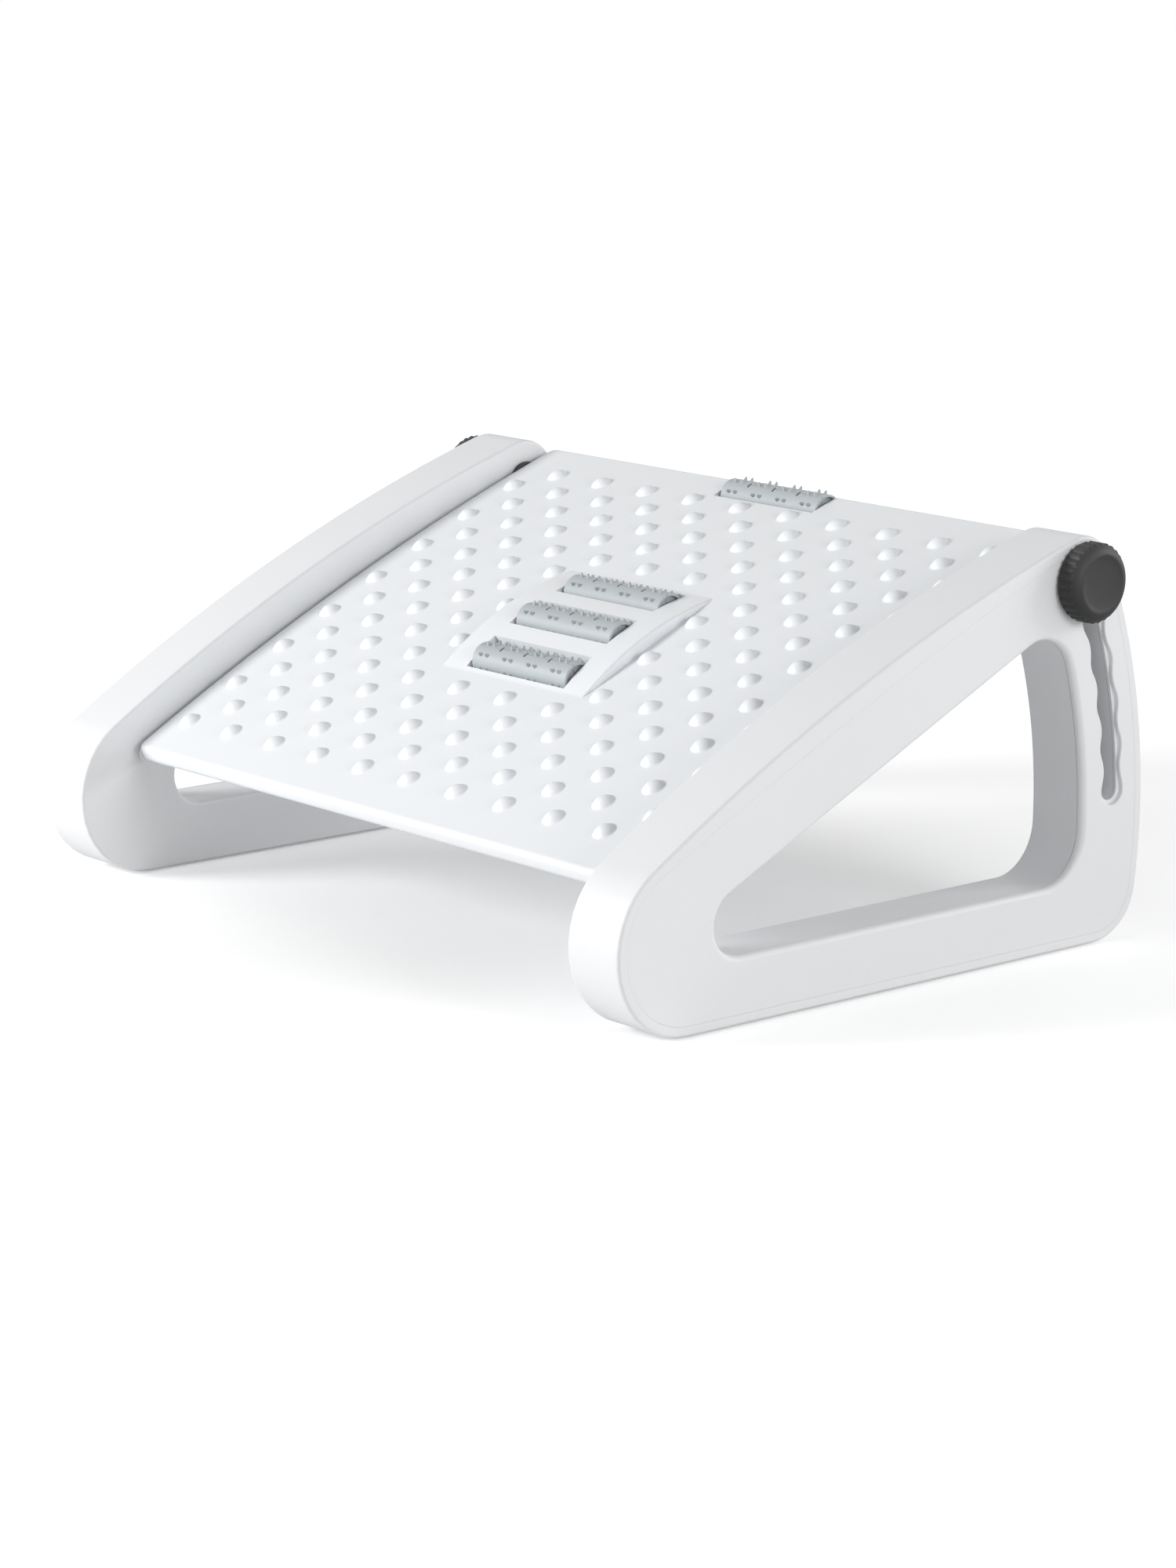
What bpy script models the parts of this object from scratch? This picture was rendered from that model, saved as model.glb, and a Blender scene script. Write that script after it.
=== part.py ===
# Under-desk footrest: a crowned footboard with massage bumps and four turning rollers, hung
# between two triangular side frames. The board tilts about two pins at its low edge. Two clamp
# knobs at its high edge run in curved slots with six rest positions.
#
# X is the width, +Y runs from the low edge to the high edge, +Z is up. The origin is on the
# floor, under the middle. Board coordinates start at the pivot axis: u runs up the slope and
# v is square to the board. Side coordinates start at a frame's inner face and run outwards.

import math

import bmesh
import bpy
import numpy as np
from mathutils import Matrix, Vector

MM = 0.001
DEGREE = math.pi / 180

# Clearances between pieces
GAP = 0.3 * MM
SEAM_GAP = 0.3 * MM

# Footboard
BOARD_WIDTH = 366 * MM
BOARD_PAST_CLAMP = 23 * MM
BOARD_NOSE = 4.8 * MM
BOARD_CORNER = 5 * MM
CROWN_RADIUS = 1700 * MM
CROWN_HEIGHT = 14.2 * MM
CROWN_SHIFT = -0.7 * MM
PLATE = 3 * MM
LIP_RADIUS = 4.8 * MM
LIP_THICKNESS = 10 * MM
NOSE_WALL = 6 * MM
EDGE_RADIUS = 2.5 * MM
FOOT_EDGE = 0.5 * MM
SKIRT_WALL = 3 * MM
SKIRT_DROP = 7 * MM
SKIRT_RAMP = 14 * MM
RIB = 2 * MM
RIB_DROP = 3 * MM
RIB_SPACING_X = 60 * MM
RIB_SHARE = 0.33

# Massage bumps
BUMP_RADIUS = 5.3 * MM
BUMP_HEIGHT = 2.8 * MM
BUMP_SIDES = 6
BUMP_COLUMNS = 10
BUMP_ROWS = 8
BUMP_MARGIN_X = 15.61 * MM
BUMP_MARGIN_U = 27.05 * MM

# Bridge and roller wells
BRIDGE_SIDE = 16.5 * MM
BRIDGE_END = 3.5 * MM
BRIDGE_RISE = 6 * MM
WINDOW_END_GAP = 1.5 * MM
WINDOW_SIDE_GAP = 2.3 * MM
WELL_BAR = 10.5 * MM
WELL_WALL = 2.5 * MM
AXIS_DROP = 5 * MM
EDGE_AXIS_INSET = 8.4 * MM
EDGE_AXIS_DROP = 5.2 * MM
NECK_SHARE = 0.83

# Rollers
ROLLER_RADIUS = 8.7 * MM
ROLLER_LENGTH = 70 * MM
ROLLER_WALL = 1.4 * MM
ROLLER_WEB = 2 * MM
ROLLER_MOUTH = 5 * MM
AXLE_RADIUS = 2 * MM
AXLE_END_PLAY = 0.2 * MM
NUB_HEIGHT = 1.6 * MM
NUB_RADIUS = 1.1 * MM
NUB_SIDES = 3
NUB_GROUPS = 4
NUB_MARGIN = 8 * MM
NUB_PAIR = 4.7 * MM
NUB_ROW_STEP = 45 * DEGREE
NUB_LEAD = 38 * DEGREE
ROLLER_TURNS = {
    "low_roller": 0 * DEGREE,
    "middle_roller": -9 * DEGREE,
    "high_roller": -9 * DEGREE,
    "edge_roller": 4 * DEGREE,
}

# Side frames
SIDE_GAP = 3 * MM
FRAME_THICKNESS = 34 * MM
FRAME_DEPTH = 337 * MM
FOOT_PROUD = 1 * MM
NOSE_RADIUS = 42 * MM
HEEL_RADIUS = 28 * MM
TOP_BOW = 1100 * MM
SLOT_TO_REAR = 21.3 * MM
PIVOT_INSET = 38.5 * MM
PIVOT_HEIGHT = 63 * MM
UPRIGHT_WIDTH = 41.3 * MM
SILL_HEIGHT = 31.7 * MM
TOE_RADIUS = 15.5 * MM
TOE_FROM_PIVOT = 35 * MM
HOLE_HEEL_RADIUS = 25 * MM
HOLE_CREST_RADIUS = 20 * MM
HOLE_CREST_ANGLE = 17.24 * DEGREE
INNER_EDGE = 1.2 * MM
OUTER_EDGE = 3.5 * MM
HOLE_EDGE = 2.5 * MM
FRAME_WALL = 3 * MM
SEAM_INSET = 5 * MM
SEAM_BOW = 2500 * MM
COVER_THICKNESS = 4 * MM
COVER_EDGE = 0.4 * MM

# Tilt slots
TILT_HIGH = 24.8 * DEGREE
DETENT_STEP = 4.47 * DEGREE
DETENTS = 6
CHANNEL_WIDTH = 10.4 * MM
RECESS_NECK = 5.6 * MM
RECESS_LOBE = 7.3 * MM
RECESS_DEPTH = 2.5 * MM
COLLAR_WALL = 2.5 * MM

# Pivots
PIN_RADIUS = 2 * MM
PIN_HEAD_RADIUS = 5 * MM
PIN_HEAD = 2.5 * MM
PIN_REACH = 18 * MM
PIN_BOSS_RADIUS = 8 * MM
PIN_BOSS_HEIGHT = 3 * MM
PIN_STOP_RADIUS = 4.5 * MM
BOARD_BOSS_WALL = 1.3 * MM
BOSS_FLOOR = 2.5 * MM
PIVOT_SPACER_RADIUS = 4 * MM

# Clamps
STUD_RADIUS = 3 * MM
INSERT_RADIUS = 4.5 * MM
INSERT_LENGTH = 12 * MM
INSERT_WALL = 2.2 * MM
STUD_ENGAGEMENT = 11 * MM
CLAMP_SPACER_RADIUS = 10 * MM
FLANGE_RADIUS = 12.5 * MM
FLANGE = 1.2 * MM
COLLAR_BOSS_LENGTH = 30 * MM
KNOB_STAND_OFF = 0.5 * MM
KNOB_BAND_RADIUS = 17.5 * MM
KNOB_BAND = 2.5 * MM
KNOB_GRIP_RADIUS = 19.2 * MM
KNOB_SCALLOP = 0.9 * MM
KNOB_SCALLOPS = 24
KNOB_GRIP = 5.5 * MM
KNOB_HEIGHT = 12.8 * MM
KNOB_FACE_RADIUS = 12.5 * MM
KNOB_DISH = 1.1 * MM
KNOB_BORE_DEPTH = 9 * MM

# Frame screws: two on the line from the pivot to the crest, one in the heel, one in the sill
SCREW_RADIUS = 1.75 * MM
SCREW_HEAD_RADIUS = 3.4 * MM
SCREW_HEAD = 2.1 * MM
SCREW_SINK = 0.6 * MM
SCREW_LENGTH = 22 * MM
SHELL_POST_RADIUS = 5 * MM
SHELL_POST = 11 * MM
COVER_POST_RADIUS = 4 * MM
PILOT_DEPTH = 12 * MM
TOP_SCREW_SHARES = (0.275, 0.71)
HEEL_SCREW_INSET = 10 * MM
HEEL_SCREW_DROP = 2 * MM
SILL_SCREW_SHARE = 0.2077

# Foot strips
STRIP_WIDTH = 24 * MM
STRIP_THICKNESS = 2 * MM
STRIP_END = 8.5 * MM

# Places worked out from the sizes above
INNER_FACE = BOARD_WIDTH / 2 + SIDE_GAP
REAR_RADIUS = FRAME_DEPTH - PIVOT_INSET
SLOT_RADIUS = REAR_RADIUS - SLOT_TO_REAR
HOLE_REAR = REAR_RADIUS - UPRIGHT_WIDTH
PIVOT = np.array([PIVOT_INSET - FRAME_DEPTH / 2, PIVOT_HEIGHT])
BOARD_REACH = SLOT_RADIUS + BOARD_PAST_CLAMP
CROWN_MIDDLE = (BOARD_REACH - BOARD_NOSE) / 2 + CROWN_SHIFT
WINDOW_WIDTH = ROLLER_LENGTH + 2 * WINDOW_END_GAP
WINDOW_LENGTH = 2 * (ROLLER_RADIUS + WINDOW_SIDE_GAP)
WELL_PITCH = WINDOW_LENGTH + WELL_BAR
BRIDGE_WIDTH = WINDOW_WIDTH + 2 * BRIDGE_SIDE
BRIDGE_LENGTH = 2 * WELL_PITCH + WINDOW_LENGTH + 2 * BRIDGE_END
BUMP_PITCH_X = (BOARD_WIDTH - 2 * BUMP_MARGIN_X) / (BUMP_COLUMNS - 0.5)
BUMP_PITCH_U = 2 * (BOARD_REACH - CROWN_MIDDLE - BUMP_MARGIN_U) / (BUMP_ROWS - 0.5)
TILT_LOW = TILT_HIGH - (DETENTS - 1) * DETENT_STEP
COVER_FLOOR = FRAME_THICKNESS - COVER_THICKNESS
PAST = 1 * MM
FAR = 60 * MM


def clear_scene():
    for obj in list(bpy.data.objects):
        bpy.data.objects.remove(obj)


def material(name, colour, roughness, metallic=0.0):
    made = bpy.data.materials.new(name)
    made.use_nodes = True
    shader = made.node_tree.nodes["Principled BSDF"]
    shader.inputs["Base Color"].default_value = (*colour, 1.0)
    shader.inputs["Roughness"].default_value = roughness
    shader.inputs["Metallic"].default_value = metallic
    return made


def object_of(name, bm, finish=None):
    """An object of the mesh, with its faces turned outwards."""
    bmesh.ops.recalc_face_normals(bm, faces=bm.faces)
    mesh = bpy.data.meshes.new(name)
    bm.to_mesh(mesh)
    bm.free()
    obj = bpy.data.objects.new(name, mesh)
    bpy.context.scene.collection.objects.link(obj)
    if finish:
        mesh.materials.append(finish)
    return obj


def combine(obj, operation, *tools):
    """Joins each tool to the object, or cuts each from it, and removes the tools."""
    for tool in tools:
        modifier = obj.modifiers.new(tool.name, "BOOLEAN")
        modifier.solver = "EXACT"
        modifier.operation = operation
        modifier.object = tool
        graph = bpy.context.evaluated_depsgraph_get()
        mesh = bpy.data.meshes.new_from_object(obj.evaluated_get(graph))
        obj.modifiers.remove(modifier)
        obj.data = mesh
        bpy.data.objects.remove(tool)
    return obj


def join(obj, *tools):
    return combine(obj, "UNION", *tools)


def cut(obj, *tools):
    return combine(obj, "DIFFERENCE", *tools)


def ring_stack(bm, rings):
    """A closed solid through rings of equally many points, with a flat face at each end."""
    loops = [[bm.verts.new(point) for point in ring] for ring in rings]
    for low, high in zip(loops, loops[1:]):
        for i in range(len(low)):
            bm.faces.new((low[i - 1], low[i], high[i], high[i - 1]))
    bm.faces.new(loops[0])
    bm.faces.new(loops[-1])


def box(name, x, y, z):
    bm = bmesh.new()
    bmesh.ops.create_cube(bm, size=1)
    spans = [high - low for low, high in (x, y, z)]
    centre = [(low + high) / 2 for low, high in (x, y, z)]
    bmesh.ops.scale(bm, vec=spans, verts=bm.verts)
    bmesh.ops.translate(bm, vec=centre, verts=bm.verts)
    return object_of(name, bm)


def turned(name, profile, sides=16, centre=(0, 0), finish=None, ripple=0.0, ripples=1):
    """A solid turned about X through (x, radius) points. A ripple draws in every other side."""
    bm = bmesh.new()
    rings = []
    for x, radius, *rippled in profile:
        ring = []
        for k in range(sides):
            angle = 2 * math.pi * k / sides
            drawn = ripple * (1 - math.cos(ripples * angle)) / 2 if rippled else 0.0
            ring.append((
                x,
                centre[0] + (radius - drawn) * math.cos(angle),
                centre[1] + (radius - drawn) * math.sin(angle),
            ))
        rings.append(ring)
    ring_stack(bm, rings)
    return object_of(name, bm, finish)


def rod(name, x0, x1, radius, centre=(0, 0), sides=16, finish=None):
    return turned(name, [(x0, radius), (x1, radius)], sides, centre, finish)


def washer(name, x0, x1, radius, bore, centre=(0, 0), sides=16, finish=None):
    made = rod(name, x0, x1, radius, centre, sides, finish)
    return cut(made, rod("bore", x0 - PAST, x1 + PAST, bore, centre, 12))


def polar(angle, radius, centre=(0, 0)):
    return np.array(centre) + radius * np.array([math.cos(angle), math.sin(angle)])


def span(start, end, steps):
    return [start + (end - start) * k / steps for k in range(steps + 1)]


def bow_ends(a, ra, b, rb, bow):
    """The normals where a bow of this radius leaves circle a and meets circle b, and its centre."""
    chord = b - a
    length = np.linalg.norm(chord)
    if bow is None:
        angle = math.atan2(chord[1], chord[0]) - math.acos((ra - rb) / length)
        return angle, angle, None
    to_a, to_b = bow - ra, bow - rb
    along = (length**2 + to_a**2 - to_b**2) / (2 * length)
    across = math.sqrt(to_a**2 - along**2)
    left = np.array([-chord[1], chord[0]])
    centre = a + (chord * along + left * across) / length
    leaves, meets = a - centre, b - centre
    return math.atan2(leaves[1], leaves[0]), math.atan2(meets[1], meets[0]), centre


def rounded_loop(corners, bows, inset, corner_steps=5, bow_steps=6):
    """An outline through corner circles (y, z, radius), joined by straight lines or by bows."""
    circles = [(np.array([y, z]), radius - inset) for y, z, radius in corners]
    links = []
    for i, bow in enumerate(bows):
        (a, ra), (b, rb) = circles[i], circles[(i + 1) % len(circles)]
        links.append(bow_ends(a, ra, b, rb, bow and bow - inset))
    points = []
    for i, (centre, radius) in enumerate(circles):
        start = links[i - 1][1]
        turn = (links[i][0] - start) % (2 * math.pi)
        points += [polar(a, radius, centre) for a in span(start, start + turn, corner_steps)]
        leaves, meets, middle = links[i]
        if middle is not None:
            sweep = (meets - leaves) % (2 * math.pi)
            stations = span(leaves, leaves + sweep, bow_steps)[1:-1]
            points += [polar(a, bows[i] - inset, middle) for a in stations]
    return points


def frame_corners():
    """The nose, the heel and the crest of the frame's outline."""
    nose = (NOSE_RADIUS - FRAME_DEPTH / 2, FOOT_PROUD + NOSE_RADIUS, NOSE_RADIUS)
    heel_z = FOOT_PROUD + HEEL_RADIUS
    reach = math.sqrt((REAR_RADIUS - HEEL_RADIUS) ** 2 - (heel_z - PIVOT[1]) ** 2)
    crest = polar(TILT_HIGH, SLOT_RADIUS, PIVOT)
    return nose, (PIVOT[0] + reach, heel_z, HEEL_RADIUS), (*crest, SLOT_TO_REAR)


def screw_places():
    """The (y, z) places of the frame's four screws."""
    top = [polar(TILT_HIGH, share * SLOT_RADIUS, PIVOT) for share in TOP_SCREW_SHARES]
    heel_y, heel_z, _ = frame_corners()[1]
    heel = (heel_y - HEEL_SCREW_INSET, heel_z - HEEL_SCREW_DROP)
    sill = (SILL_SCREW_SHARE * FRAME_DEPTH, FOOT_PROUD + SILL_HEIGHT / 2)
    return [*top, heel, sill]


def frame_outline(inset):
    return rounded_loop(frame_corners(), (None, REAR_RADIUS, TOP_BOW), inset)


def seam_outline(inset):
    """The cover's edge: parallel to the frame's, but flatter along the top."""
    corners = [(y, z, radius - SEAM_INSET) for y, z, radius in frame_corners()]
    return rounded_loop(corners, (None, REAR_RADIUS - SEAM_INSET, SEAM_BOW), inset)


def hole_outline(inset):
    sill = FOOT_PROUD + SILL_HEIGHT
    toe = (PIVOT[0] + TOE_FROM_PIVOT, sill + TOE_RADIUS, TOE_RADIUS)
    heel_z = sill + HOLE_HEEL_RADIUS
    reach = math.sqrt((HOLE_REAR - HOLE_HEEL_RADIUS) ** 2 - (heel_z - PIVOT[1]) ** 2)
    heel = (PIVOT[0] + reach, heel_z, HOLE_HEEL_RADIUS)
    crest = polar(HOLE_CREST_ANGLE, HOLE_REAR - HOLE_CREST_RADIUS, PIVOT)
    corners = (toe, heel, (*crest, HOLE_CREST_RADIUS))
    return rounded_loop(corners, (None, HOLE_REAR, None), inset, 5, 5)


def slot_outline(half_width_at, steps):
    """A curved slot about the pivot, whose half width may change along it."""
    stations = span(0.0, 1.0, steps)
    angle = lambda t: TILT_LOW + t * (TILT_HIGH - TILT_LOW)
    points = [polar(angle(t), SLOT_RADIUS + half_width_at(t), PIVOT) for t in stations]
    for t, turn in ((1.0, 0.0), (0.0, math.pi)):
        middle = polar(angle(t), SLOT_RADIUS, PIVOT)
        start = angle(t) + turn
        ends = span(start, start + math.pi, 6)[1:-1]
        points += [polar(a, half_width_at(t), middle) for a in ends]
        if t == 1.0:
            back = reversed(stations)
            points += [polar(angle(s), SLOT_RADIUS - half_width_at(s), PIVOT) for s in back]
    return points


def channel_outline(grow):
    return slot_outline(lambda t: CHANNEL_WIDTH / 2 + grow, 8)


def recess_outline(inset):
    """The wavy recess round the slot: a lobe at each rest position, a neck between two."""
    swing = RECESS_LOBE - RECESS_NECK
    waves = 2 * math.pi * (DETENTS - 1)
    wave = lambda t: RECESS_NECK + swing * (1 + math.cos(waves * t)) / 2 - inset
    return slot_outline(wave, 4 * (DETENTS - 1))


def prism(name, outline, levels, finish=None):
    """A solid along X through (x, inset) levels of an outline."""
    bm = bmesh.new()
    ring_stack(bm, [[(x, y, z) for y, z in outline(inset)] for x, inset in levels])
    return object_of(name, bm, finish)


def rounded_levels(x0, x1, edge0, edge1):
    """Levels from x0 to x1, with a bevel at x0 and a quarter round at x1."""
    low = [(x0, edge0), (x0 + edge0, 0.0)]
    quarter = span(0.0, math.pi / 2, 2)
    high = [(x1 - edge1 * (1 - math.cos(a)), edge1 * (1 - math.sin(a))) for a in quarter]
    return low + high[::-1]


def flared_cutter(name, outline, x0, x1, edge, steps=1):
    """A cutter that leaves a round edge of this radius at x0 and runs straight past x1."""
    out = 1 if x1 > x0 else -1
    quarter = span(0.0, math.pi / 2, steps)
    levels = [(x0 - out * PAST, -edge)]
    levels += [(x0 + out * edge * (1 - math.cos(a)), -edge * (1 - math.sin(a))) for a in quarter]
    return prism(name, outline, levels + [(x1 + out * PAST, 0.0)])


def foot_outline(grow):
    """The foot strip seen from above, as (x, y) points with round ends."""
    corners = frame_corners()
    radius = STRIP_WIDTH / 2 + grow
    middle = FRAME_THICKNESS / 2
    ends = (corners[0][0] + STRIP_END + STRIP_WIDTH / 2, corners[1][0] - STRIP_END - STRIP_WIDTH / 2)
    rear = [polar(a, radius, (middle, ends[1])) for a in span(0.0, math.pi, 5)]
    front = [polar(a, radius, (middle, ends[0])) for a in span(math.pi, 2 * math.pi, 5)]
    return rear + front


def foot_solid(name, grow, z0, z1, finish=None):
    bm = bmesh.new()
    ring_stack(bm, [[(x, y, z) for x, y in foot_outline(grow)] for z in (z0, z1)])
    return object_of(name, bm, finish)


def inner_shell(name, finish):
    """The deep moulding of a frame: its inner face, outer wall, hole, slot collar and posts."""
    levels = rounded_levels(0, FRAME_THICKNESS, INNER_EDGE, OUTER_EDGE)
    shell = prism(name, frame_outline, levels, finish)
    pocket_edge = -SEAM_GAP / 2
    pocket = [(FRAME_WALL, pocket_edge), (FRAME_THICKNESS + PAST, pocket_edge)]
    hollow = prism("hollow", seam_outline, pocket)
    core_top = COVER_FLOOR - GAP
    kept = [
        prism("hole_wall", lambda i: hole_outline(-FRAME_WALL), [(0, 0), (core_top, 0)]),
        prism("slot_wall", lambda i: channel_outline(COLLAR_WALL), [(0, 0), (core_top, 0)]),
        rod("pin_boss", 0, FRAME_WALL + PIN_BOSS_HEIGHT, PIN_BOSS_RADIUS, PIVOT, 12),
    ]
    for place in screw_places():
        kept.append(rod("post", 0, FRAME_WALL + SHELL_POST, SHELL_POST_RADIUS, place, 8))
    cut(shell, cut(hollow, *kept))
    cut(shell, flared_cutter("hole", hole_outline, 0, FRAME_THICKNESS, INNER_EDGE))
    cut(shell, prism("slot", channel_outline, [(-PAST, 0), (FRAME_THICKNESS + PAST, 0)]))
    cut(shell, rod("pin_bore", -PAST, FAR, PIN_RADIUS + GAP, PIVOT, 12))
    for place in screw_places():
        sink = SCREW_SINK + SCREW_HEAD + GAP
        cut(shell, rod("sink", -PAST, sink, SCREW_HEAD_RADIUS + GAP, place, 8))
        cut(shell, rod("screw_bore", -PAST, FAR, SCREW_RADIUS + GAP, place, 8))
    return cut(shell, foot_solid("foot_pocket", GAP, 0, STRIP_THICKNESS + GAP))


def outer_cover(name, finish):
    """The cover plate of a frame, flush in the shell's rim, with its posts."""
    edge = SEAM_GAP / 2
    levels = [
        (COVER_FLOOR, edge),
        (FRAME_THICKNESS - COVER_EDGE, edge),
        (FRAME_THICKNESS, edge + COVER_EDGE),
    ]
    cover = prism(name, seam_outline, levels, finish)
    post_end = FRAME_WALL + SHELL_POST + GAP
    pin_end = FRAME_WALL + PIN_BOSS_HEIGHT + PIN_HEAD + 2 * GAP
    root = COVER_FLOOR + COVER_THICKNESS / 2
    join(cover, rod("pin_stop", pin_end, root, PIN_STOP_RADIUS, PIVOT, 8))
    for place in screw_places():
        post = rod("post", post_end, root, COVER_POST_RADIUS, place, 8)
        pilot_end = post_end + PILOT_DEPTH
        join(cover, cut(post, rod("pilot", 0, pilot_end, SCREW_RADIUS + GAP, place, 8)))
    cut(cover, flared_cutter("hole", hole_outline, FRAME_THICKNESS, 0, HOLE_EDGE, 2))
    floor = FRAME_THICKNESS - RECESS_DEPTH
    cut(cover, prism("recess", recess_outline, [(floor, 0), (FRAME_THICKNESS + PAST, 0)]))
    return cut(cover, prism("slot", channel_outline, [(0, 0), (FRAME_THICKNESS, 0)]))


def pivot_pin(name, finish):
    """A shoulder pin: its head sits on the shell's boss, its shank runs into the board."""
    seat = FRAME_WALL + PIN_BOSS_HEIGHT + GAP
    end = -(SIDE_GAP + PIN_REACH)
    profile = [
        (end, PIN_RADIUS),
        (seat, PIN_RADIUS),
        (seat, PIN_HEAD_RADIUS),
        (seat + PIN_HEAD, PIN_HEAD_RADIUS),
    ]
    return turned(name, profile, 12, finish=finish)


def pivot_spacer(name, finish):
    ends = (GAP - SIDE_GAP, -GAP)
    return washer(name, *ends, PIVOT_SPACER_RADIUS, PIN_RADIUS + GAP, finish=finish)


def frame_screw(name, finish):
    """A pan-head screw, up from the frame's inner face."""
    seat = SCREW_SINK + SCREW_HEAD
    profile = [
        (SCREW_SINK, SCREW_HEAD_RADIUS),
        (seat, SCREW_HEAD_RADIUS),
        (seat, SCREW_RADIUS),
        (seat + SCREW_LENGTH - SCREW_RADIUS, SCREW_RADIUS),
    ]
    return turned(name, profile, 6, finish=finish)


def crown(u):
    """The height of the board's top surface over its pivot line."""
    sag = CROWN_RADIUS - math.sqrt(CROWN_RADIUS**2 - (u - CROWN_MIDDLE) ** 2)
    return CROWN_HEIGHT - sag


def skirt_bottom(u):
    nose = crown(u) - LIP_THICKNESS
    share = min(max(u / SKIRT_RAMP, 0.0), 1.0)
    return nose - (SKIRT_DROP + nose) * share


def board_side(half_width, front, rear, corner):
    """Half of the board's plan, from the nose to the high edge: points and outward normals."""
    centre_x = half_width - corner
    quarter = span(0.0, math.pi / 2, 3)
    points = []
    for a in quarter:
        normal = (math.sin(a), -math.cos(a))
        points.append((centre_x + corner * normal[0], front + corner * (1 + normal[1]), normal))
    stations = [s for s in (SKIRT_RAMP, SKIRT_RAMP * 2) if s > front + corner]
    stations += span(SKIRT_RAMP * 2, rear - corner, 8)[1:-1]
    points += [(half_width, u, (1.0, 0.0)) for u in stations]
    for a in quarter:
        normal = (math.cos(a), math.sin(a))
        points.append((centre_x + corner * normal[0], rear - corner + corner * normal[1], normal))
    return points


def crowned_solid(name, side, top_at, bottom_at, lip, foot, steps, finish=None):
    """A solid between two surfaces that only change along u. Each rim is rounded, by one
    radius at the sides and the high edge and another at the nose."""
    quarter = span(0.0, math.pi / 2, steps) if steps else [math.pi / 2]
    rings = []
    for surface_at, (edge, nose), sign in ((bottom_at, foot, 1), (top_at, lip, -1)):
        for a in quarter[::sign]:
            ring = []
            for x, u, normal in side:
                px = x - edge * (1 - math.sin(a)) * normal[0]
                pu = u - (nose if normal[1] < 0 else edge) * (1 - math.sin(a)) * normal[1]
                depth = edge + (nose - edge) * max(0.0, -normal[1])
                ring.append((px, pu, surface_at(pu) + sign * depth * (1 - math.cos(a))))
            rings.append(ring)
    bm = bmesh.new()
    right = [[bm.verts.new((x, u, v)) for x, u, v in ring] for ring in rings]
    left = [[bm.verts.new((-x, u, v)) for x, u, v in ring] for ring in rings]
    last = len(side) - 1
    for k in range(len(rings) - 1):
        for half in (right, left):
            for j in range(last):
                bm.faces.new((half[k][j], half[k][j + 1], half[k + 1][j + 1], half[k + 1][j]))
        for j in (0, last):
            bm.faces.new((right[k][j], left[k][j], left[k + 1][j], right[k + 1][j]))
    for k in (0, len(rings) - 1):
        for j in range(last):
            bm.faces.new((right[k][j], right[k][j + 1], left[k][j + 1], left[k][j]))
    return object_of(name, bm, finish)


def board_blank(name, finish):
    """The board's outer form, with a bull nose at its low edge."""
    side = board_side(BOARD_WIDTH / 2, -BOARD_NOSE, BOARD_REACH, BOARD_CORNER)
    lip = (EDGE_RADIUS, LIP_RADIUS)
    foot = (FOOT_EDGE, LIP_RADIUS)
    return crowned_solid(name, side, crown, skirt_bottom, lip, foot, 2, finish)


def arch(s):
    """The height of the bridge's top, at a distance s from its middle."""
    half = BRIDGE_LENGTH / 2
    drop = BRIDGE_RISE + CROWN_HEIGHT - crown(CROWN_MIDDLE + half)
    radius = (half**2 + drop**2) / (2 * drop)
    return CROWN_HEIGHT + BRIDGE_RISE - radius + math.sqrt(radius**2 - s**2)


def arched_block(name, half_width, drop, base):
    """A block under the bridge's arch, lowered by a drop, along its whole length."""
    half = BRIDGE_LENGTH / 2 + WELL_WALL
    profile = [(CROWN_MIDDLE + s, arch(s) - drop) for s in span(half, -half, 10)]
    profile += [(CROWN_MIDDLE - half, base), (CROWN_MIDDLE + half, base)]
    bm = bmesh.new()
    ring_stack(bm, [[(x, u, v) for u, v in profile] for x in (-half_width, half_width)])
    return object_of(name, bm)


def roller_places():
    """Each roller's axis, as (u, v)."""
    places = {}
    for k, name in enumerate(("low_roller", "middle_roller", "high_roller")):
        s = (k - 1) * WELL_PITCH
        places[name] = (CROWN_MIDDLE + s, arch(s) - AXIS_DROP)
    u = BOARD_REACH - EDGE_AXIS_INSET
    places["edge_roller"] = (u, crown(u) - EDGE_AXIS_DROP)
    return places


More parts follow.
